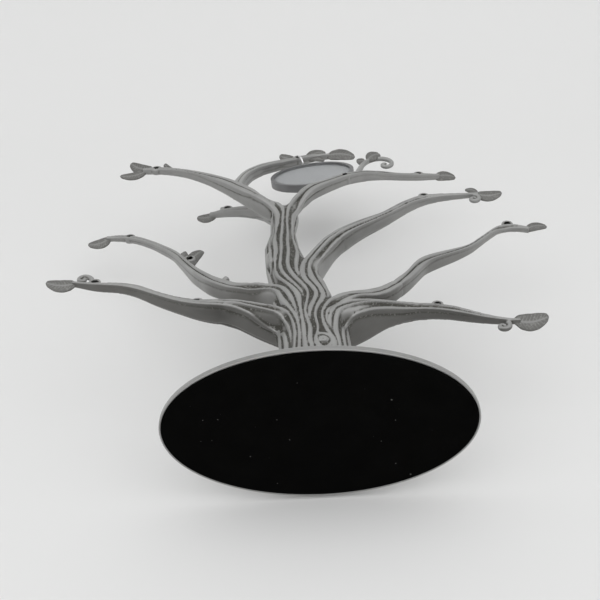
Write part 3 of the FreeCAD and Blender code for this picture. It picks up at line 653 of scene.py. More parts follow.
def crowd(height):
    """Each strand's place from 0, left, to 1, right, at each height, and its share.

    A strand's weight rises to 1 where it starts, wanders, and fades to 0 where
    it leaves. Its place is the weight to its left plus half its own, over the
    whole weight.
    """
    leave = np.array([leave_height(limb, lateral) for limb, lateral, _ in FRONT_STRANDS])
    start = np.array([start for _, _, start in FRONT_STRANDS])
    level = height[:, None]
    weight = smooth_step(level, start - LEAVE_LENGTH, start + LEAVE_LENGTH)
    weight = weight * (1 - smooth_step(level, leave - LEAVE_LENGTH, leave + LEAVE_LENGTH))
    unrest = wander(height, WEIGHT_SEED, len(FRONT_STRANDS))
    weight = weight * (1 + WEIGHT_WANDER * unrest) + LEAST_WEIGHT
    total = weight.sum(1, keepdims=True)
    place = (np.cumsum(weight, axis=1) - weight / 2) / total
    return place, weight / total


def round_the_knot(x, z):
    """Moves points sideways out of the oval of the knot."""
    across = (x - KNOT[0]) / KNOT_SIZE[0]
    high = (z - KNOT[1]) / KNOT_SIZE[1]
    room = np.sqrt(np.clip(1 - high * high, 0, 1))
    pushed = np.sign(across) * (room + np.abs(across) * (1 - room / KNOT_REACH))
    return np.where(np.abs(across) < KNOT_REACH, KNOT[0] + pushed * KNOT_SIZE[0], x)


def trunk_strand(index):
    """A strand's way up the trunk, seen from the front: rows of x, z and half width."""
    limb, lateral, start = FRONT_STRANDS[index]
    height = np.arange(max(BASE_TOP, start - LEAVE_LENGTH), leave_height(limb, lateral), STEP)
    place, share = crowd(height)
    centre_x, _, half = trunk_at(height)
    front = half * TRUNK_FRONT
    x = round_the_knot(centre_x - front * (1 - 2 * place[:, index]), height)
    return np.c_[x, height, front * share[:, index]]


print("strands from the foot", sum(start == BASE for _, _, start in FRONT_STRANDS))


# %% Strands along the limbs
def limb_strand(limb, lateral):
    """The same for its way along its limb."""
    centre, half = LIMBS[limb][:, :3], LIMBS[limb][:, 3] * LIMB_ACROSS
    across = unit(np.cross(unit(np.gradient(centre, axis=0)), FRONT_TO_BACK))
    points = centre + across * (lateral * half)[:, None]
    count = max(len(STRANDS.get(limb, [])), FEWEST_STRANDS)
    return np.c_[points[:, 0], points[:, 2], LIMB_STRAND * half / count]


def limb_route(limb, first=0, last=None):
    """Rows of x, y, z, half width and half depth along a limb, shares of the plan's width.

    Near the trunk a heavy limb is as deep as the trunk: their fronts run together.
    """
    centre, half = LIMBS[limb][:, :3], LIMBS[limb][:, 3]
    out = half * LIMB_OUT
    if limb in DEEP_ROOTS:
        trunk_out = trunk_at(centre[:, 2])[2] * TRUNK_FLATNESS - CORE_RELIEF
        near = 1 - smooth_step(distances(centre), *ROOT_FADE)
        out = np.maximum(out, out + (trunk_out - out) * near)
    route = np.c_[centre, half * LIMB_ACROSS, out][first:last]
    return bend_through(route, ROUTE_STEP, LIMB_SOFTNESS)


def trunk_route():
    """Rows of x, y, z, half width and half depth up the trunk, without the strands."""
    half = TRUNK[:, 3] - CORE_RELIEF
    rows = np.c_[TRUNK[:, :3], half, half * TRUNK_FLATNESS]
    return bend_through(rows, ROUTE_STEP, TRUNK_SOFTNESS)


print("points on the trunk's route", len(trunk_route()))


# %% Strands laid on the cores
def core_depth(x, z, balls, side):
    """The front (side -1) or back (side 1) of a row of flattened balls, at each x and z.

    A ball reaches out by its depth times the height of a rounded box over the
    distance, and the furthest counts. Beside all balls it is the nearest's middle.
    """
    away = np.hypot(x[:, None] - balls[:, 0], z[:, None] - balls[:, 2]) / balls[:, 3]
    bulge = np.clip(1 - away ** SQUARENESS, 0, 1) ** (1 / SQUARENESS)
    reach = np.where(away < 1, side * balls[:, 1] + bulge * balls[:, 4], NOTHING_THERE)
    furthest = reach.max(1)
    nearest = balls[away.argmin(1), 1]
    return side * np.where(furthest > NOTHING_THERE, furthest, side * nearest)


def cast_depth(skin, x, z, side):
    """Where level rays from the front or back meet a skin at each x and z, misses bridged."""
    starts = [(across, side * CAST_FROM, up) for across, up in zip(x, z)]
    hits = [skin.ray_cast(start, (0, -side, 0))[0] for start in starts]
    found = np.array([hit.y if hit else np.nan for hit in hits])
    good = ~np.isnan(found)
    return np.interp(np.arange(len(found)), np.flatnonzero(good), found[good])


def strand(limb, flat, side, skin):
    """A strand laid on the front or back of its cores: its path, half width and cut.

    Up to the cut, where the limb's own casting starts, it lies on the trunk's
    skin, and beyond that on the limb.
    """
    x, z, girth = bend_through(flat, STEP, STRAND_SOFTNESS).T
    depth = core_depth(x, z, limb_route(limb), side)
    cut = cut_index(np.c_[x, depth, z], limb)
    if cut:
        depth[:cut] = cast_depth(skin, x[:cut], z[:cut], side)
    window = np.ones(2 * DEPTH_MEAN + 1) / (2 * DEPTH_MEAN + 1)
    depth = np.convolve(np.pad(depth, DEPTH_MEAN, mode="edge"), window, "valid")
    return np.c_[x, depth, z], girth, cut


def side_strand(lateral, hand, seed):
    """A strand up the trunk's left (hand -1) or right (hand 1) side: its path and half width."""
    height = np.arange(BASE_TOP, SIDE_TOP, STEP)
    centre_x, centre_y, half = trunk_at(height)
    half = half - CORE_RELIEF
    place = lateral + SIDE_WANDER * wander(height, seed, 1)[:, 0]
    out = hand * half * (1 - np.abs(place) ** SQUARENESS) ** (1 / SQUARENESS)
    depth = place * half * TRUNK_FLATNESS
    path = np.c_[centre_x + out, centre_y + depth, height]
    return path, SIDE_GIRTH * half * TRUNK_FLATNESS / SIDE_FULLNESS


print("points on a side strand", len(side_strand(0.0, 1, SIDE_SEEDS[0])[0]))

# %% [markdown]
# ## Melting tubes into one casting
#
# A voxel remesh turns overlapping tubes into one closed skin, as solder and
# casting do. It fills the sharp corners between them a little. A few rounds of
# smoothing then take away the voxel steps. The hanging holes are drilled last,
# so that their edges stay crisp.


# %% Melt and drill
MELT_SOFTNESS = 0.5
MELT_ROUNDS = 2
TRUNK_VOXEL = 0.55 * MM
LIMB_VOXEL = 0.42 * MM
CORE_VOXEL = 1.2 * MM
CORE_ROUNDS = 14


def worked_out(thing):
    """An object as its modifiers make it."""
    return thing.evaluated_get(bpy.context.evaluated_depsgraph_get())


def take_mesh(thing):
    """The mesh that an object's modifiers make of it; the object goes."""
    mesh = bpy.data.meshes.new_from_object(worked_out(thing))
    bpy.data.objects.remove(thing)
    return mesh


def soften(thing, factor, rounds):
    """Rounds of smoothing that move each vertex by factor towards its neighbours."""
    soft = thing.modifiers.new("soften", "SMOOTH")
    soft.factor = factor
    soft.iterations = rounds


def melt(name, parts, voxel, rounds=MELT_ROUNDS):
    """One closed, smoothed skin round all the parts, as a new mesh."""
    rough = new_object(name, *gather(parts))
    remesh = rough.modifiers.new("melt", "REMESH")
    remesh.mode = "VOXEL"
    remesh.voxel_size = voxel
    remesh.use_smooth_shade = True
    soften(rough, MELT_SOFTNESS, rounds)
    return take_mesh(rough)


def drill(mesh, cutters):
    """The mesh with the closed cutters taken out of it."""
    solid = add_object("solid", mesh)
    cutter = new_object("cutter", *gather(cutters))
    cut = solid.modifiers.new("drill", "BOOLEAN")
    cut.object = cutter
    cut.operation = "DIFFERENCE"
    cut.solver = "MANIFOLD"
    drilled = take_mesh(solid)
    bpy.data.objects.remove(cutter)
    drilled.shade_smooth()
    return drilled


def read(mesh, key):
    """The places ("co") or normals ("normal") of a mesh's vertices as an array."""
    values = np.empty(len(mesh.vertices) * 3, np.float32)
    mesh.vertices.foreach_get(key, values)
    return values.reshape(-1, 3).astype(float)


# %% Grooves and undersides
GROOVE_SOFTNESS = 0.8
GROOVE_LIMIT = 0.9
HOLE_WALL = 1.12  # of a hole's radius, within which a vertex is its wall, painted black as shade
SHADED_UNDERSIDE = (0.25, 0.80)  # how far a face looks down, over which the painted shade sets in
UPPER_LIMBS = (95 * MM, 175 * MM)
UPPER_SHADE_SPARED = 0.70  # of the painted underside shade that the upper limbs are spared


def softened(mesh, rounds):
    """The vertices' places after rounds of smoothing, in the same order."""
    probe = add_object("probe", mesh)
    soften(probe, GROOVE_SOFTNESS, rounds)
    points = read(worked_out(probe).data, "co")
    bpy.data.objects.remove(probe)
    return points


def store_hollows_and_shade(mesh, rounds, depth, holes):
    """Keep how hollow each vertex lies, from 0 on a rise to 1, and where shade is painted.

    Smoothing lifts the floors of the grooves and lowers the ridges, so the distance
    that it moves a vertex outwards, over twice the depth of the grooves, is its
    hollowness. The walls of holes count as the hollowest, which the finish paints
    black as shade. A face gets the more painted shade the more it looks down and
    the lower it lies.
    """
    points, normals = read(mesh, "co"), read(mesh, "normal")
    lift = ((softened(mesh, rounds) - points) * normals).sum(1)
    hollow = np.clip(0.5 + lift / depth / 2, 0, GROOVE_LIMIT)
    # Hole walls are marked for the black painted shade.
    for hole in holes:
        away = points - hole
        hollow[np.hypot(away[:, 0], away[:, 2]) < HOLE_WALL * HOLE_RADIUS] = 1.0
    store(mesh, "groove_and_hole_shade", hollow)
    # Painted shade: faces that look down get darker greys, the upper limbs less.
    under = smooth_step(-normals[:, 2], *SHADED_UNDERSIDE)
    upper = smooth_step(points[:, 2], *UPPER_LIMBS)
    store(mesh, "painted_shade", under * (1 - UPPER_SHADE_SPARED * upper))


def store(mesh, name, values):
    """Keep one number for each vertex with the mesh."""
    stored = mesh.attributes.new(name, "FLOAT", "POINT")
    stored.data.foreach_set("value", np.asarray(values, np.float32))


# %% [markdown]
# ## Antique metal
#
# The finish of the casting is a dull grey metal that was darkened and then
# rubbed: the raised strands are paler, and the grooves keep the dark stain and the
# pebbled skin of the mould. The undersides, the lower limbs most, get a painted
# shade, and the walls of the hanging holes are painted black as shade.

# %% Metal
MOTTLE_SIZE = 9 * MM
GRAIN_SIZE = 0.5 * MM
PEBBLE_SIZE = 0.9 * MM
SPECK_SIZE = 1.1 * MM
SPECK_EDGE = (0.56, 0.66)
GROOVE_EDGE = (0.46, 0.66)  # hollowness over which the stain sets in
# hollowness over which the hole walls get their painted black shade
HOLE_SHADE_EDGE = (0.92, 0.99)
RUBBED_GREYS = (0.31, 0.31, 0.304, 1), (0.42, 0.42, 0.412, 1)
STAIN_GREYS = (0.075, 0.073, 0.064, 1), (0.20, 0.198, 0.185, 1)
# the darker greys of the painted underside shade
PAINTED_SHADE_GREYS = (0.12, 0.118, 0.111, 1), (0.17, 0.168, 0.160, 1)
# black painted as shade on the walls of the holes
HOLE_SHADE_BLACK = (0.006, 0.006, 0.005, 1)
GRAIN_SHARE = 0.25
SKIN_DEPTH = 0.25 * MM
PLATE_HOLLOW = 0.40


def antique_metal(name, metallic, roughness):
    """Rubbed grey, stained dark in the grooves, with painted shade on the undersides and painted
    black shade in the holes.
    """
    finish = Finish(name)
    groove_and_hole_shade = finish.stored("groove_and_hole_shade")
    mottle = finish.noise(MOTTLE_SIZE, detail=3.0)
    grain = finish.noise(GRAIN_SIZE, detail=3.0, roughness=0.7)
    pebble = finish.noise(PEBBLE_SIZE, detail=1.0)
    speck = finish.noise(SPECK_SIZE, detail=1.0).step(*SPECK_EDGE)
    dark = groove_and_hole_shade.step(*GROOVE_EDGE)
    rubbed = finish.blend(mottle, *RUBBED_GREYS)
    # darker greys, painted as shade on the undersides
    painted_shade = finish.blend(mottle, *PAINTED_SHADE_GREYS)
    shaded_below = finish.blend(finish.stored("painted_shade"), rubbed, painted_shade)
    stained = finish.blend(dark, shaded_below, finish.blend(speck, *STAIN_GREYS))
    return finish.surface({
        # the walls of the holes painted black as shade
        "Base Color": finish.blend(groove_and_hole_shade.step(*HOLE_SHADE_EDGE), stained, HOLE_SHADE_BLACK),
        "Metallic": metallic,
        "Roughness": roughness + mottle * 0.12 + dark * 0.15,
        "Normal": finish.bump(grain * GRAIN_SHARE + pebble * dark, SKIN_DEPTH),
    })


METAL = antique_metal("antique_metal", metallic=0.55, roughness=0.38)
PLATE_METAL = antique_metal("plate_metal", metallic=0.80, roughness=0.26)
print("materials", [material.name for material in (METAL, PLATE_METAL)])

# %% [markdown]
# ## Trunk and limbs
#
# Each casting gathers its core, its strands, its tendril, stump and twig and the
# bosses of its holes, and is melted into one skin.

# %% Parts of a casting
TRUNK_SIDES = 40
LIMB_SIDES = 24
STRAND_SIDES = 16
STRAND_SQUARENESS = 3.2
RISE_SHARE = 0.85  # a strand's rise is at most this share of its girth
KNOT_RINGS = (0.88, 0.8 * MM), (0.24, 1.3 * MM)
KNOT_STEPS = 49
KNOT_UNEVENNESS = 0.3
KNOT_RISE = 1.3
KNOT_SQUARENESS = 2.4
STUB_REACH = 22 * MM
CURL_STEPS = 60
CURL_POWER = 3.2
CURL_GIRTHS = (0.28, 0.20)
STUMP_TAPER = 0.86
STUMP_STEPS = 8
STUMP_FACING = (0.3, 1.0, 0.1)  # along none of the stumps
PIN_STEPS = 6
PIN_SIDES = 32
TWIG_SOFTNESS = 4 * MM
CROWN_LATERALS = (-0.5, 0.5)
CROWN_SEED = 11


def route_tube(route, sides=LIMB_SIDES):
    """A rounded box along rows of x, y, z, half width and half depth."""
    return tube(route[:, :3], route[:, 3], route[:, 4], sides, SQUARENESS)


def strand_tube(path, girth, part, seed, facing=FRONT_TO_BACK):
    """The sliced part of a strand: flat-topped, now wider, now narrower."""
    share = STRAND_SHARE + STRAND_WANDER * wander(path[:, 2], seed, 1)[:, 0]
    rise = np.minimum(girth * RISE_SHARE, STRAND_RISE)
    width = girth * share
    return tube(path[part], width[part], rise[part], STRAND_SIDES, STRAND_SQUARENESS, facing)


def tapered(route):
    """A limb's route with thinner first rings, so that it grows out of its stub."""
    away = np.linalg.norm(route[:, :3] - route[0, :3], axis=1)
    grown = JOIN_SHARE + (1 - JOIN_SHARE) * smooth_step(away, 0.0, JOIN_LENGTH)
    return np.c_[route[:, :3], route[:, 3:] * grown[:, None]]


def knot_tubes(skin):
    """An oval ring and a fat small one in it, thicker on one side: the knot."""
    turn = np.linspace(0, 2 * np.pi, KNOT_STEPS)
    tubes = []
    for share, girth in KNOT_RINGS:
        x = KNOT[0] + share * KNOT_SIZE[0] * np.cos(turn)
        z = KNOT[1] + share * KNOT_SIZE[1] * np.sin(turn)
        path = np.c_[x, cast_depth(skin, x, z, -1), z]
        width = girth * (1 + KNOT_UNEVENNESS * np.cos(turn - 1))
        tubes.append(tube(path, width, girth * KNOT_RISE, squareness=KNOT_SQUARENESS))
    return tubes


def cut_index(path, limb):
    """The index of the path's first point that lies beyond the limb's stub."""
    station = STUB_STATIONS[limb]
    split, beyond = LIMBS[limb][station - 1:station + 1, :3]
    ahead = (path - split) @ unit(beyond - split)
    near = np.linalg.norm(path - split, axis=1) < STUB_REACH
    return int(np.argmax((ahead > 0) & near))


def curl_tube(row):
    """A tendril from its root to its middle, which winds towards the trunk.

    It is an arc whose radius shrinks fast at first, then slowly.
    """
    root, centre = row[:3], row[3:]
    arm = root - centre
    hand = -math.copysign(1, root[0])
    share = np.linspace(0, 1, CURL_STEPS)
    turn = math.atan2(arm[2], arm[0]) + hand * 2 * math.pi * CURL_TURNS * share
    radius = CURL_TIP + (np.linalg.norm(arm) - CURL_TIP) * (1 - share) ** CURL_POWER
    path = centre + np.c_[radius * np.cos(turn), 0 * share, radius * np.sin(turn)]
    girth = (CURL_GIRTHS[0] * (1 - share) + CURL_GIRTHS[1] * share) * LIMB_GIRTH
    return tube(path, girth, girth)


def stump_tube(row):
    """A short blunt stump, from a row of its root, its tip and its half width."""
    root, tip = row[:3], row[3:6]
    path = root + (tip - root) * np.linspace(0, 1, STUMP_STEPS)[:, None]
    girth = row[6] * np.linspace(1, STUMP_TAPER, STUMP_STEPS)
    return tube(path, girth, girth, facing=STUMP_FACING)


def straight_pin(at, radius, depth):
    """A short cylinder along the depth of the tree, centred on a place."""
    level = np.linspace(-depth / 2, depth / 2, PIN_STEPS)
    path = at + np.c_[0 * level, level, 0 * level]
    return tube(path, radius, radius, PIN_SIDES, facing=(0.0, 0.0, 1.0))


def eye_depth(limb, at):
    """How deep the boss of a hanging hole is: nearly as deep as the limb beside it."""
    route = limb_route(limb)
    away = np.linalg.norm(route[:, :3] - at, axis=1)
    return max(EYE_DEPTH, EYE_SHARE * 2 * route[away.argmin(), 4])


def limb_extras(limb):
    """What a limb carries beside its strands: bosses, tendril, stump and twig."""
    parts = [straight_pin(at, EYE_RADIUS, eye_depth(limb, at)) for at in HOLES[limb]]
    if limb in CURLS:
        parts.append(curl_tube(CURLS[limb]))
    if limb in NUBS:
        parts.append(stump_tube(NUBS[limb]))
    if limb in TWIGS:
        rows = bend_through(TWIGS[limb], ROUTE_STEP, TWIG_SOFTNESS)
        parts.append(tube(rows[:, :3], rows[:, 3], rows[:, 3]))
    return parts


def crown_strands():
    """Two strands on the front and two on the back of the crown limb."""
    parts = []
    for lateral in CROWN_LATERALS:
        flat = limb_strand("crown_limb", lateral)
        x, z, girth = bend_through(flat, STEP, STRAND_SOFTNESS).T
        for side in (-1, 1):
            path = np.c_[x, core_depth(x, z, limb_route("crown_limb"), side), z]
            parts.append(strand_tube(path, girth, slice(None), CROWN_SEED))
    return parts


print("bosses and the like", {limb: len(limb_extras(limb)) for limb in LIMBS})


# %% Cores of the castings
STUB_OVERLAP = 2  # rows of a limb's route that the trunk's core takes
CROWN_STUB_ROWS = 3
core_parts = [route_tube(trunk_route(), TRUNK_SIDES), stump_tube(KNUCKLE)]
parts_of = {}
for limb in LIMBS:
    split = STUB_STATIONS[limb] - 1
    parts_of[limb] = [route_tube(tapered(limb_route(limb, split)))] + limb_extras(limb)
    if limb != "crown_limb":
        core_parts.append(route_tube(limb_route(limb, 0, split + STUB_OVERLAP)))
parts_of["upper_left_limb"].append(route_tube(limb_route("crown_limb", 0, CROWN_STUB_ROWS)))
parts_of["crown_limb"] += crown_strands()
mesh = melt("core", core_parts, CORE_VOXEL, CORE_ROUNDS)
core = read(mesh, "co"), [list(face.vertices) for face in mesh.polygons]
skin = BVHTree.FromPolygons(core[0].tolist(), core[1])
print("core", len(core[0]), "vertices")

# %% Strands of the castings
ROOT_ROWS = 2  # of a limb's strand, which the trunk's part replaces
TAPER_SHARE = 0.4  # of a strand's girth, lost where trunk and limb overlap
HIDDEN_STOP = 4 * MM  # below the limb, where a strand behind its underside ends
trunk_parts = [core] + knot_tubes(skin)
for hand in (-1, 1):
    for index, lateral in enumerate(SIDE_STRANDS):
        path, girth = side_strand(lateral, hand, SIDE_SEEDS[0] + SIDE_SEEDS[1] * index + hand)
        trunk_parts.append(strand_tube(path, girth, slice(None), index, (1.0, 0.0, 0.0)))
for index, (limb, lateral, _) in enumerate(FRONT_STRANDS):
    flat = np.concatenate([trunk_strand(index), limb_strand(limb, lateral)[ROOT_ROWS:]])
    for side in (-1, 1):
        path, girth, cut = strand(limb, flat, side, skin)
        lost = TAPER_SHARE * smooth_step(np.arange(len(path)), cut, cut + JOIN_STEPS)
        before = slice(None, cut + JOIN_STEPS)
        if side > 0 and lateral * across_rise(limb) < LOWER_EDGE:
            top = leave_height(limb, lateral) - HIDDEN_STOP
            before = slice(None, int(np.argmax(path[:, 2] > top)))
        else:
            limb_girth = girth * (1 - TAPER_SHARE + lost)
            parts_of[limb].append(strand_tube(path, limb_girth, slice(cut, None), index))
        trunk_parts.append(strand_tube(path, girth * (1 - lost), before, index))
print("parts of the trunk", len(trunk_parts))

# %% Melted castings
TRUNK_GROOVE = (30, 0.60 * MM)  # rounds of smoothing, and the depth of a groove
LIMB_GROOVE = (14, 0.40 * MM)
PIN_SHARE = 4  # of an eye's depth: long enough to go right through


def finish_casting(name, mesh, nodes, holes, rounds, depth):
    """A melted skin with its grooves worked out, as a piece of the stand."""
    store_hollows_and_shade(mesh, rounds, depth, holes)
    mesh.materials.clear()
    mesh.materials.append(METAL)
    piece = add_object(name, mesh)
    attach(piece, "stand")
    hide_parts(*nodes)
    print(name, len(mesh.vertices))


trunk = melt("trunk", trunk_parts, TRUNK_VOXEL)
finish_casting("trunk", trunk, ["tree_trunk"], [], *TRUNK_GROOVE)
for limb, parts in parts_of.items():
    pins = [straight_pin(at, HOLE_RADIUS, PIN_SHARE * EYE_DEPTH) for at in HOLES[limb]]
    casting = drill(melt(limb, parts, LIMB_VOXEL), pins)
    finish_casting(limb + "_casting", casting, [limb], HOLES[limb], *LIMB_GROOVE)

# %% [markdown]
# ## Leaves
#
# A leaf is a thin crowned blade with a raised midrib and slanting veins. Its
# half width and thickness are given as shares at a few places along it.

# %% Leaf blades
LEAF_SHARES = np.array([
    (0.00, 0.30, 0.95), (0.15, 0.86, 1.00), (0.40, 1.06, 0.92),
    (0.68, 0.96, 0.80), (0.88, 0.66, 0.66), (1.00, 0.34, 0.50),
])
LEAF_STEPS = 60
LEAF_SIDES = 48
LEAF_BOW = 0.10  # of its length
DROOPING = ("lower_right_limb", "high_right_limb")
LEAF_TILT = 22  # degrees about its length
STEEP_TILTS = {"lower_right_limb": 40}
LEAF_THICKNESS = 2.0 * MM
LEAF_FULLNESS = 0.6
# how far each whole leaf is darkened, evenly, towards the painted-shade greys
LEAF_DARKENING = 0.45
OUTLINE_MEAN = 6  # points on each side that the outline is evened with
TIP_LENGTH = 0.05  # of the leaf, which is rounded
TIP_LEAST = 0.3
RIB_WIDTH = 0.10
VEIN_RISE = 0.16 * MM
VEIN_COUNT = 5
VEIN_SLANT = 1.6
VEIN_SHARE = 0.7
LEAF_HOLLOW = 0.57
LEAF_RELIEF = 0.16
END_HOLLOW = 0.5  # of the vertex at the middle of each end


def leaf_blade(row, tilt, bow):
    """A closed leaf and its hollowness: rings across the blade along a bowed midrib.

    Each ring is a flat oval whose front and back carry a midrib along the
    middle and veins that slant towards the tip. Between them it is hollow.
    """
    stem, tip, share = row[:3], row[3:6], row[6]
    run = tip - stem
    length = np.linalg.norm(run)
    side = unit(np.cross(run, FRONT_TO_BACK))
    out = np.cross(side, run / length)
    turn = math.copysign(math.radians(tilt), run[0])
    cos, sin = math.cos(turn), math.sin(turn)
    side, out = side * cos - out * sin, out * cos + side * sin
    along = np.linspace(0, 1, LEAF_STEPS)
    wide, thick = (np.interp(along, LEAF_SHARES[:, 0], column) for column in LEAF_SHARES[:, 1:].T)
    window = np.hanning(2 * OUTLINE_MEAN + 1)
    padded = np.pad(wide, OUTLINE_MEAN, mode="reflect", reflect_type="odd")
    wide = np.convolve(padded, window / window.sum(), "valid")
    round_end = np.maximum(np.sqrt(np.clip((1 - along) / TIP_LENGTH, 0, 1)), TIP_LEAST)
    middle = stem + run * along[:, None] + side * (bow * length * np.sin(np.pi * along))[:, None]
    across, level = np.cos(full_turn(LEAF_SIDES)), np.sin(full_turn(LEAF_SIDES))
    rib = np.exp(-(across / RIB_WIDTH) ** 2)
    slant = along[:, None] * VEIN_COUNT * 2 - np.abs(across) * VEIN_SLANT
    vein = np.clip(np.cos(2 * np.pi * slant), 0, 1) ** 3 * (1 - np.abs(across)) * VEIN_SHARE
    relief = np.maximum(rib, vein)
    bulge = signed_power(level, LEAF_FULLNESS)
    half_wide = (wide * share * LEAF_GIRTH * round_end)[:, None]
    half_thick = (thick * LEAF_THICKNESS / 2 * round_end)[:, None]
    height = bulge * (half_thick - VEIN_RISE * (1 - relief) * (1 - across ** 2))
    rings = middle[:, None] + side * (half_wide * across)[..., None] + out * height[..., None]
    hollow = LEAF_HOLLOW - LEAF_RELIEF * relief
    return close_rings(rings), np.r_[hollow.ravel(), END_HOLLOW, END_HOLLOW]


def add_leaves(limb):
    """All leaves of one limb as one piece, with its hollowness and an even darkening."""
    bow = -LEAF_BOW if limb in DROOPING else LEAF_BOW
    tilt = STEEP_TILTS.get(limb, LEAF_TILT)
    blades = [leaf_blade(row, tilt, bow) for row in LEAVES[limb]]
    surface = gather([blade for blade, _ in blades])
    piece = add_piece(limb + "_leaves", surface, METAL, "stand", [limb])
    store(piece.data, "groove_and_hole_shade", np.concatenate([hollow for _, hollow in blades]))
    # Each leaf evenly darkened with the greys of the painted shade.
    store(piece.data, "painted_shade", np.full(len(piece.data.vertices), LEAF_DARKENING))


for limb in LEAVES:
    add_leaves(limb)

# %% [markdown]
# ## Base and felt
#
# The plate and its pad are ovals. Each is a row of rings that starts at the
# middle of its underside and ends at the middle of its top; a ring is given by
# how far it lies in from the outline and how high.

# %% Ovals
BASE_HALF = np.array([70.0, 40.0]) * MM
PLATE_BOTTOM = 0.4 * MM
FELT_TOP = 1.4 * MM
FELT_MARGIN = 0.9 * MM
FELT_GAP = 0.15 * MM
TOP_ROUND = 1.4 * MM
RIM_ROUND = 0.35 * MM
MIDDLE_INSET = 36 * MM
PLATE_INSETS = np.array([3, 8, 16, 26, 36]) * MM
FELT_INSETS = np.array([36, 26, 16, 8, 4, 2]) * MM
OVAL_SIDES = 240
QUARTER_STEPS = 9


def quarter(inset, height, radius, first):
    """A quarter circle's rows of inset and height; first is its starting angle."""
    turn = np.radians(first + np.linspace(0, 90, QUARTER_STEPS))
    return np.c_[inset - radius * np.cos(turn), height + radius * np.sin(turn)]


def oval_rings(rows):
    """A closed oval solid from rows of inset and height."""
    turn = full_turn(OVAL_SIDES)
    half = BASE_HALF - rows[:, :1]
    x = half[:, :1] * np.cos(turn)
    y = half[:, 1:] * np.sin(turn)
    z = np.broadcast_to(rows[:, 1:], x.shape)
    points, faces = close_rings(np.stack([x, y, z], axis=2))
    return points, [face[::-1] for face in faces]


def plate_rows():
    """The pad's recess, the underside's rim, the rounded edge and the top."""
    floor = [(MIDDLE_INSET, FELT_TOP), (FELT_MARGIN, FELT_TOP), (FELT_MARGIN, PLATE_BOTTOM)]
    lower = quarter(RIM_ROUND, PLATE_BOTTOM + RIM_ROUND, RIM_ROUND, -90)
    upper = quarter(TOP_ROUND, BASE_TOP - TOP_ROUND, TOP_ROUND, 0)
    return np.concatenate([floor, lower, upper, [(inset, BASE_TOP) for inset in PLATE_INSETS]])


def felt_rows():
    """The pad's underside, its rounded edge and its hidden top."""
    edge = FELT_MARGIN + FELT_GAP
    steps = [(inset, 0.0) for inset in FELT_INSETS]
    lower = quarter(edge + RIM_ROUND, RIM_ROUND, RIM_ROUND, -90)
    return np.concatenate([steps, lower, [(edge, FELT_TOP), (MIDDLE_INSET, FELT_TOP)]])


plate = add_piece(
    "base_casting", oval_rings(plate_rows()), PLATE_METAL, "stand", ["base_plate"]
)
store(plate.data, "groove_and_hole_shade", np.full(len(plate.data.vertices), PLATE_HOLLOW))

# %% Flocked pad
FIBRE_SIZE = 0.35 * MM
# size of the paler patches of painted sheen
NAP_SHEEN_SIZE = 14 * MM
DUST_SIZE = 1.6 * MM
DUST_EDGE = (0.855, 0.875)
# near black, and a paler black painted as sheen
FLOCK_BLACK_AND_SHEEN = (0.0012, 0.0012, 0.0011, 1), (0.0034, 0.0034, 0.0032, 1)
DUST_GREY = (0.10, 0.10, 0.095, 1)
FIBRE_DEPTH = 0.12 * MM


def black_flock():
    """Short upright fibres: near black, in random patches a little paler as painted sheen of
    leaning fibres, a few specks of dust.
    """
    finish = Finish("black_flock")
    fibre = finish.noise(FIBRE_SIZE, roughness=0.8)
    nap_sheen = finish.noise(NAP_SHEEN_SIZE, detail=3.0)
    dust = finish.noise(DUST_SIZE, detail=0.0).step(*DUST_EDGE)
    return finish.surface({
        # the paler black is painted sheen, in random patches
        "Base Color": finish.blend(dust, finish.blend(nap_sheen, *FLOCK_BLACK_AND_SHEEN), DUST_GREY),
        "Roughness": 0.86 + fibre * 0.12,
        "Specular IOR Level": 0.02,
        "Sheen Weight": 0.006,
        "Normal": finish.bump(fibre, FIBRE_DEPTH),
    })


add_piece(
    "flocked_pad", oval_rings(felt_rows()), black_flock(), "stand", ["base_felt"]
)

# %% [markdown]
# ## Small frame, ring and screws
#
# These parts are plain turned and bent metal, so the construction's own shapes
# stay and get their finishes here.

# %% Finishes of the plain parts
CLOUD_SIZE = 5 * MM
SCRATCH_SIZE = 0.25 * MM
HAZE_SIZE = 6 * MM
PAPER_SIZE = 0.4 * MM
PAPER_DEPTH = 0.02 * MM
LENS_GREYS = (0.55, 0.56, 0.57, 1), (0.62, 0.63, 0.64, 1)


def turned_metal(name, dull, bright, roughness, scratch):
    """Satin metal with soft clouds of tarnish and fine scratches."""
    finish = Finish(name)
    cloud = finish.noise(CLOUD_SIZE, detail=3.0)
    fine = finish.noise(SCRATCH_SIZE, detail=3.0, roughness=0.7)
    return finish.surface({
        "Base Color": finish.blend(cloud, dull, bright),
        "Metallic": 0.85,
        "Roughness": roughness + cloud * 0.12,
        "Normal": finish.bump(fine, scratch),
    })


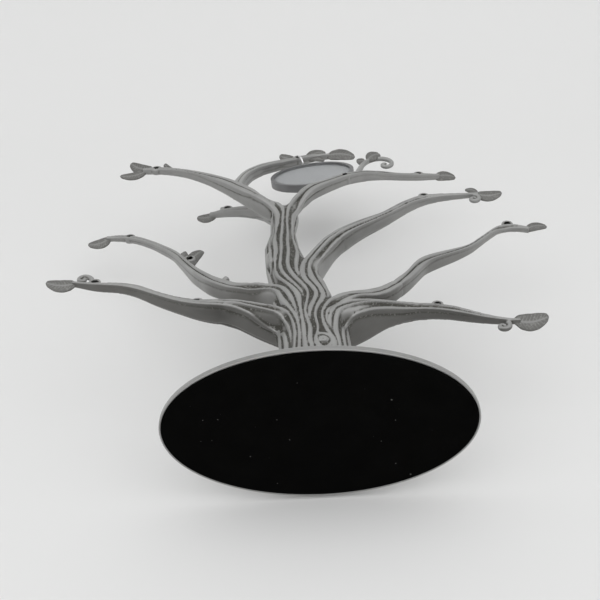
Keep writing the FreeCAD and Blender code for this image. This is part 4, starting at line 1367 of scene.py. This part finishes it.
def clear_lens():
    """A thin clear disc: what is behind it shows, under a weak gloss with faint haze."""
    finish = Finish("clear_lens")
    haze = finish.noise(HAZE_SIZE)
    return finish.surface({
        "Base Color": finish.blend(haze, *LENS_GREYS),
        "Alpha": 0.08 + haze * 0.08,
        "Roughness": 0.30 + haze * 0.08,
        "Specular IOR Level": 0.30,
    })


def plain_paper(name, dark, pale):
    """Smooth card or board with a faint fibre."""
    finish = Finish(name)
    fibre = finish.noise(PAPER_SIZE, detail=4.0, roughness=0.7)
    return finish.surface({
        "Base Color": finish.blend(fibre, dark, pale),
        "Roughness": 0.70 + fibre * 0.15,
        "Normal": finish.bump(fibre, PAPER_DEPTH),
    })


# %% Finishes put on
METALS = {  # a name, two greys, a roughness and how deep the scratches are
    "frame_rim": ("frame_metal", (0.19, 0.19, 0.192, 1), (0.27, 0.272, 0.275, 1), 0.40, 0.02),
    "frame_back": ("back_metal", (0.22, 0.22, 0.22, 1), (0.32, 0.32, 0.32, 1), 0.36, 0.02),
    "base_screws": ("screw_steel", (0.35, 0.35, 0.36, 1), (0.5, 0.5, 0.5, 1), 0.30, 0.02),
    "hanger_ring": ("bright_wire", (0.75, 0.75, 0.76, 1), (0.90, 0.90, 0.90, 1), 0.12, 0.01),
}
PAPERS = {
    "photo_card": ("grey_card", (0.35, 0.36, 0.368, 1), (0.41, 0.42, 0.428, 1)),
    "frame_filler": ("grey_board", (0.25, 0.24, 0.22, 1), (0.33, 0.32, 0.30, 1)),
}
plain_finishes = {node: turned_metal(*look, depth * MM) for node, (*look, depth) in METALS.items()}
plain_finishes |= {node: plain_paper(*look) for node, look in PAPERS.items()}
plain_finishes["frame_lens"] = clear_lens()
for node, material in plain_finishes.items():
    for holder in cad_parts[node].material_slots:
        holder.material = material

# The lens rests on the card: a hair of clearance keeps their faces apart.
LENS_CLEARANCE = 0.03 * MM
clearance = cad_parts["frame_lens"].modifiers.new("clearance", "DISPLACE")
clearance.mid_level = 0.0
clearance.strength = -LENS_CLEARANCE
print("plain parts", len(plain_finishes))
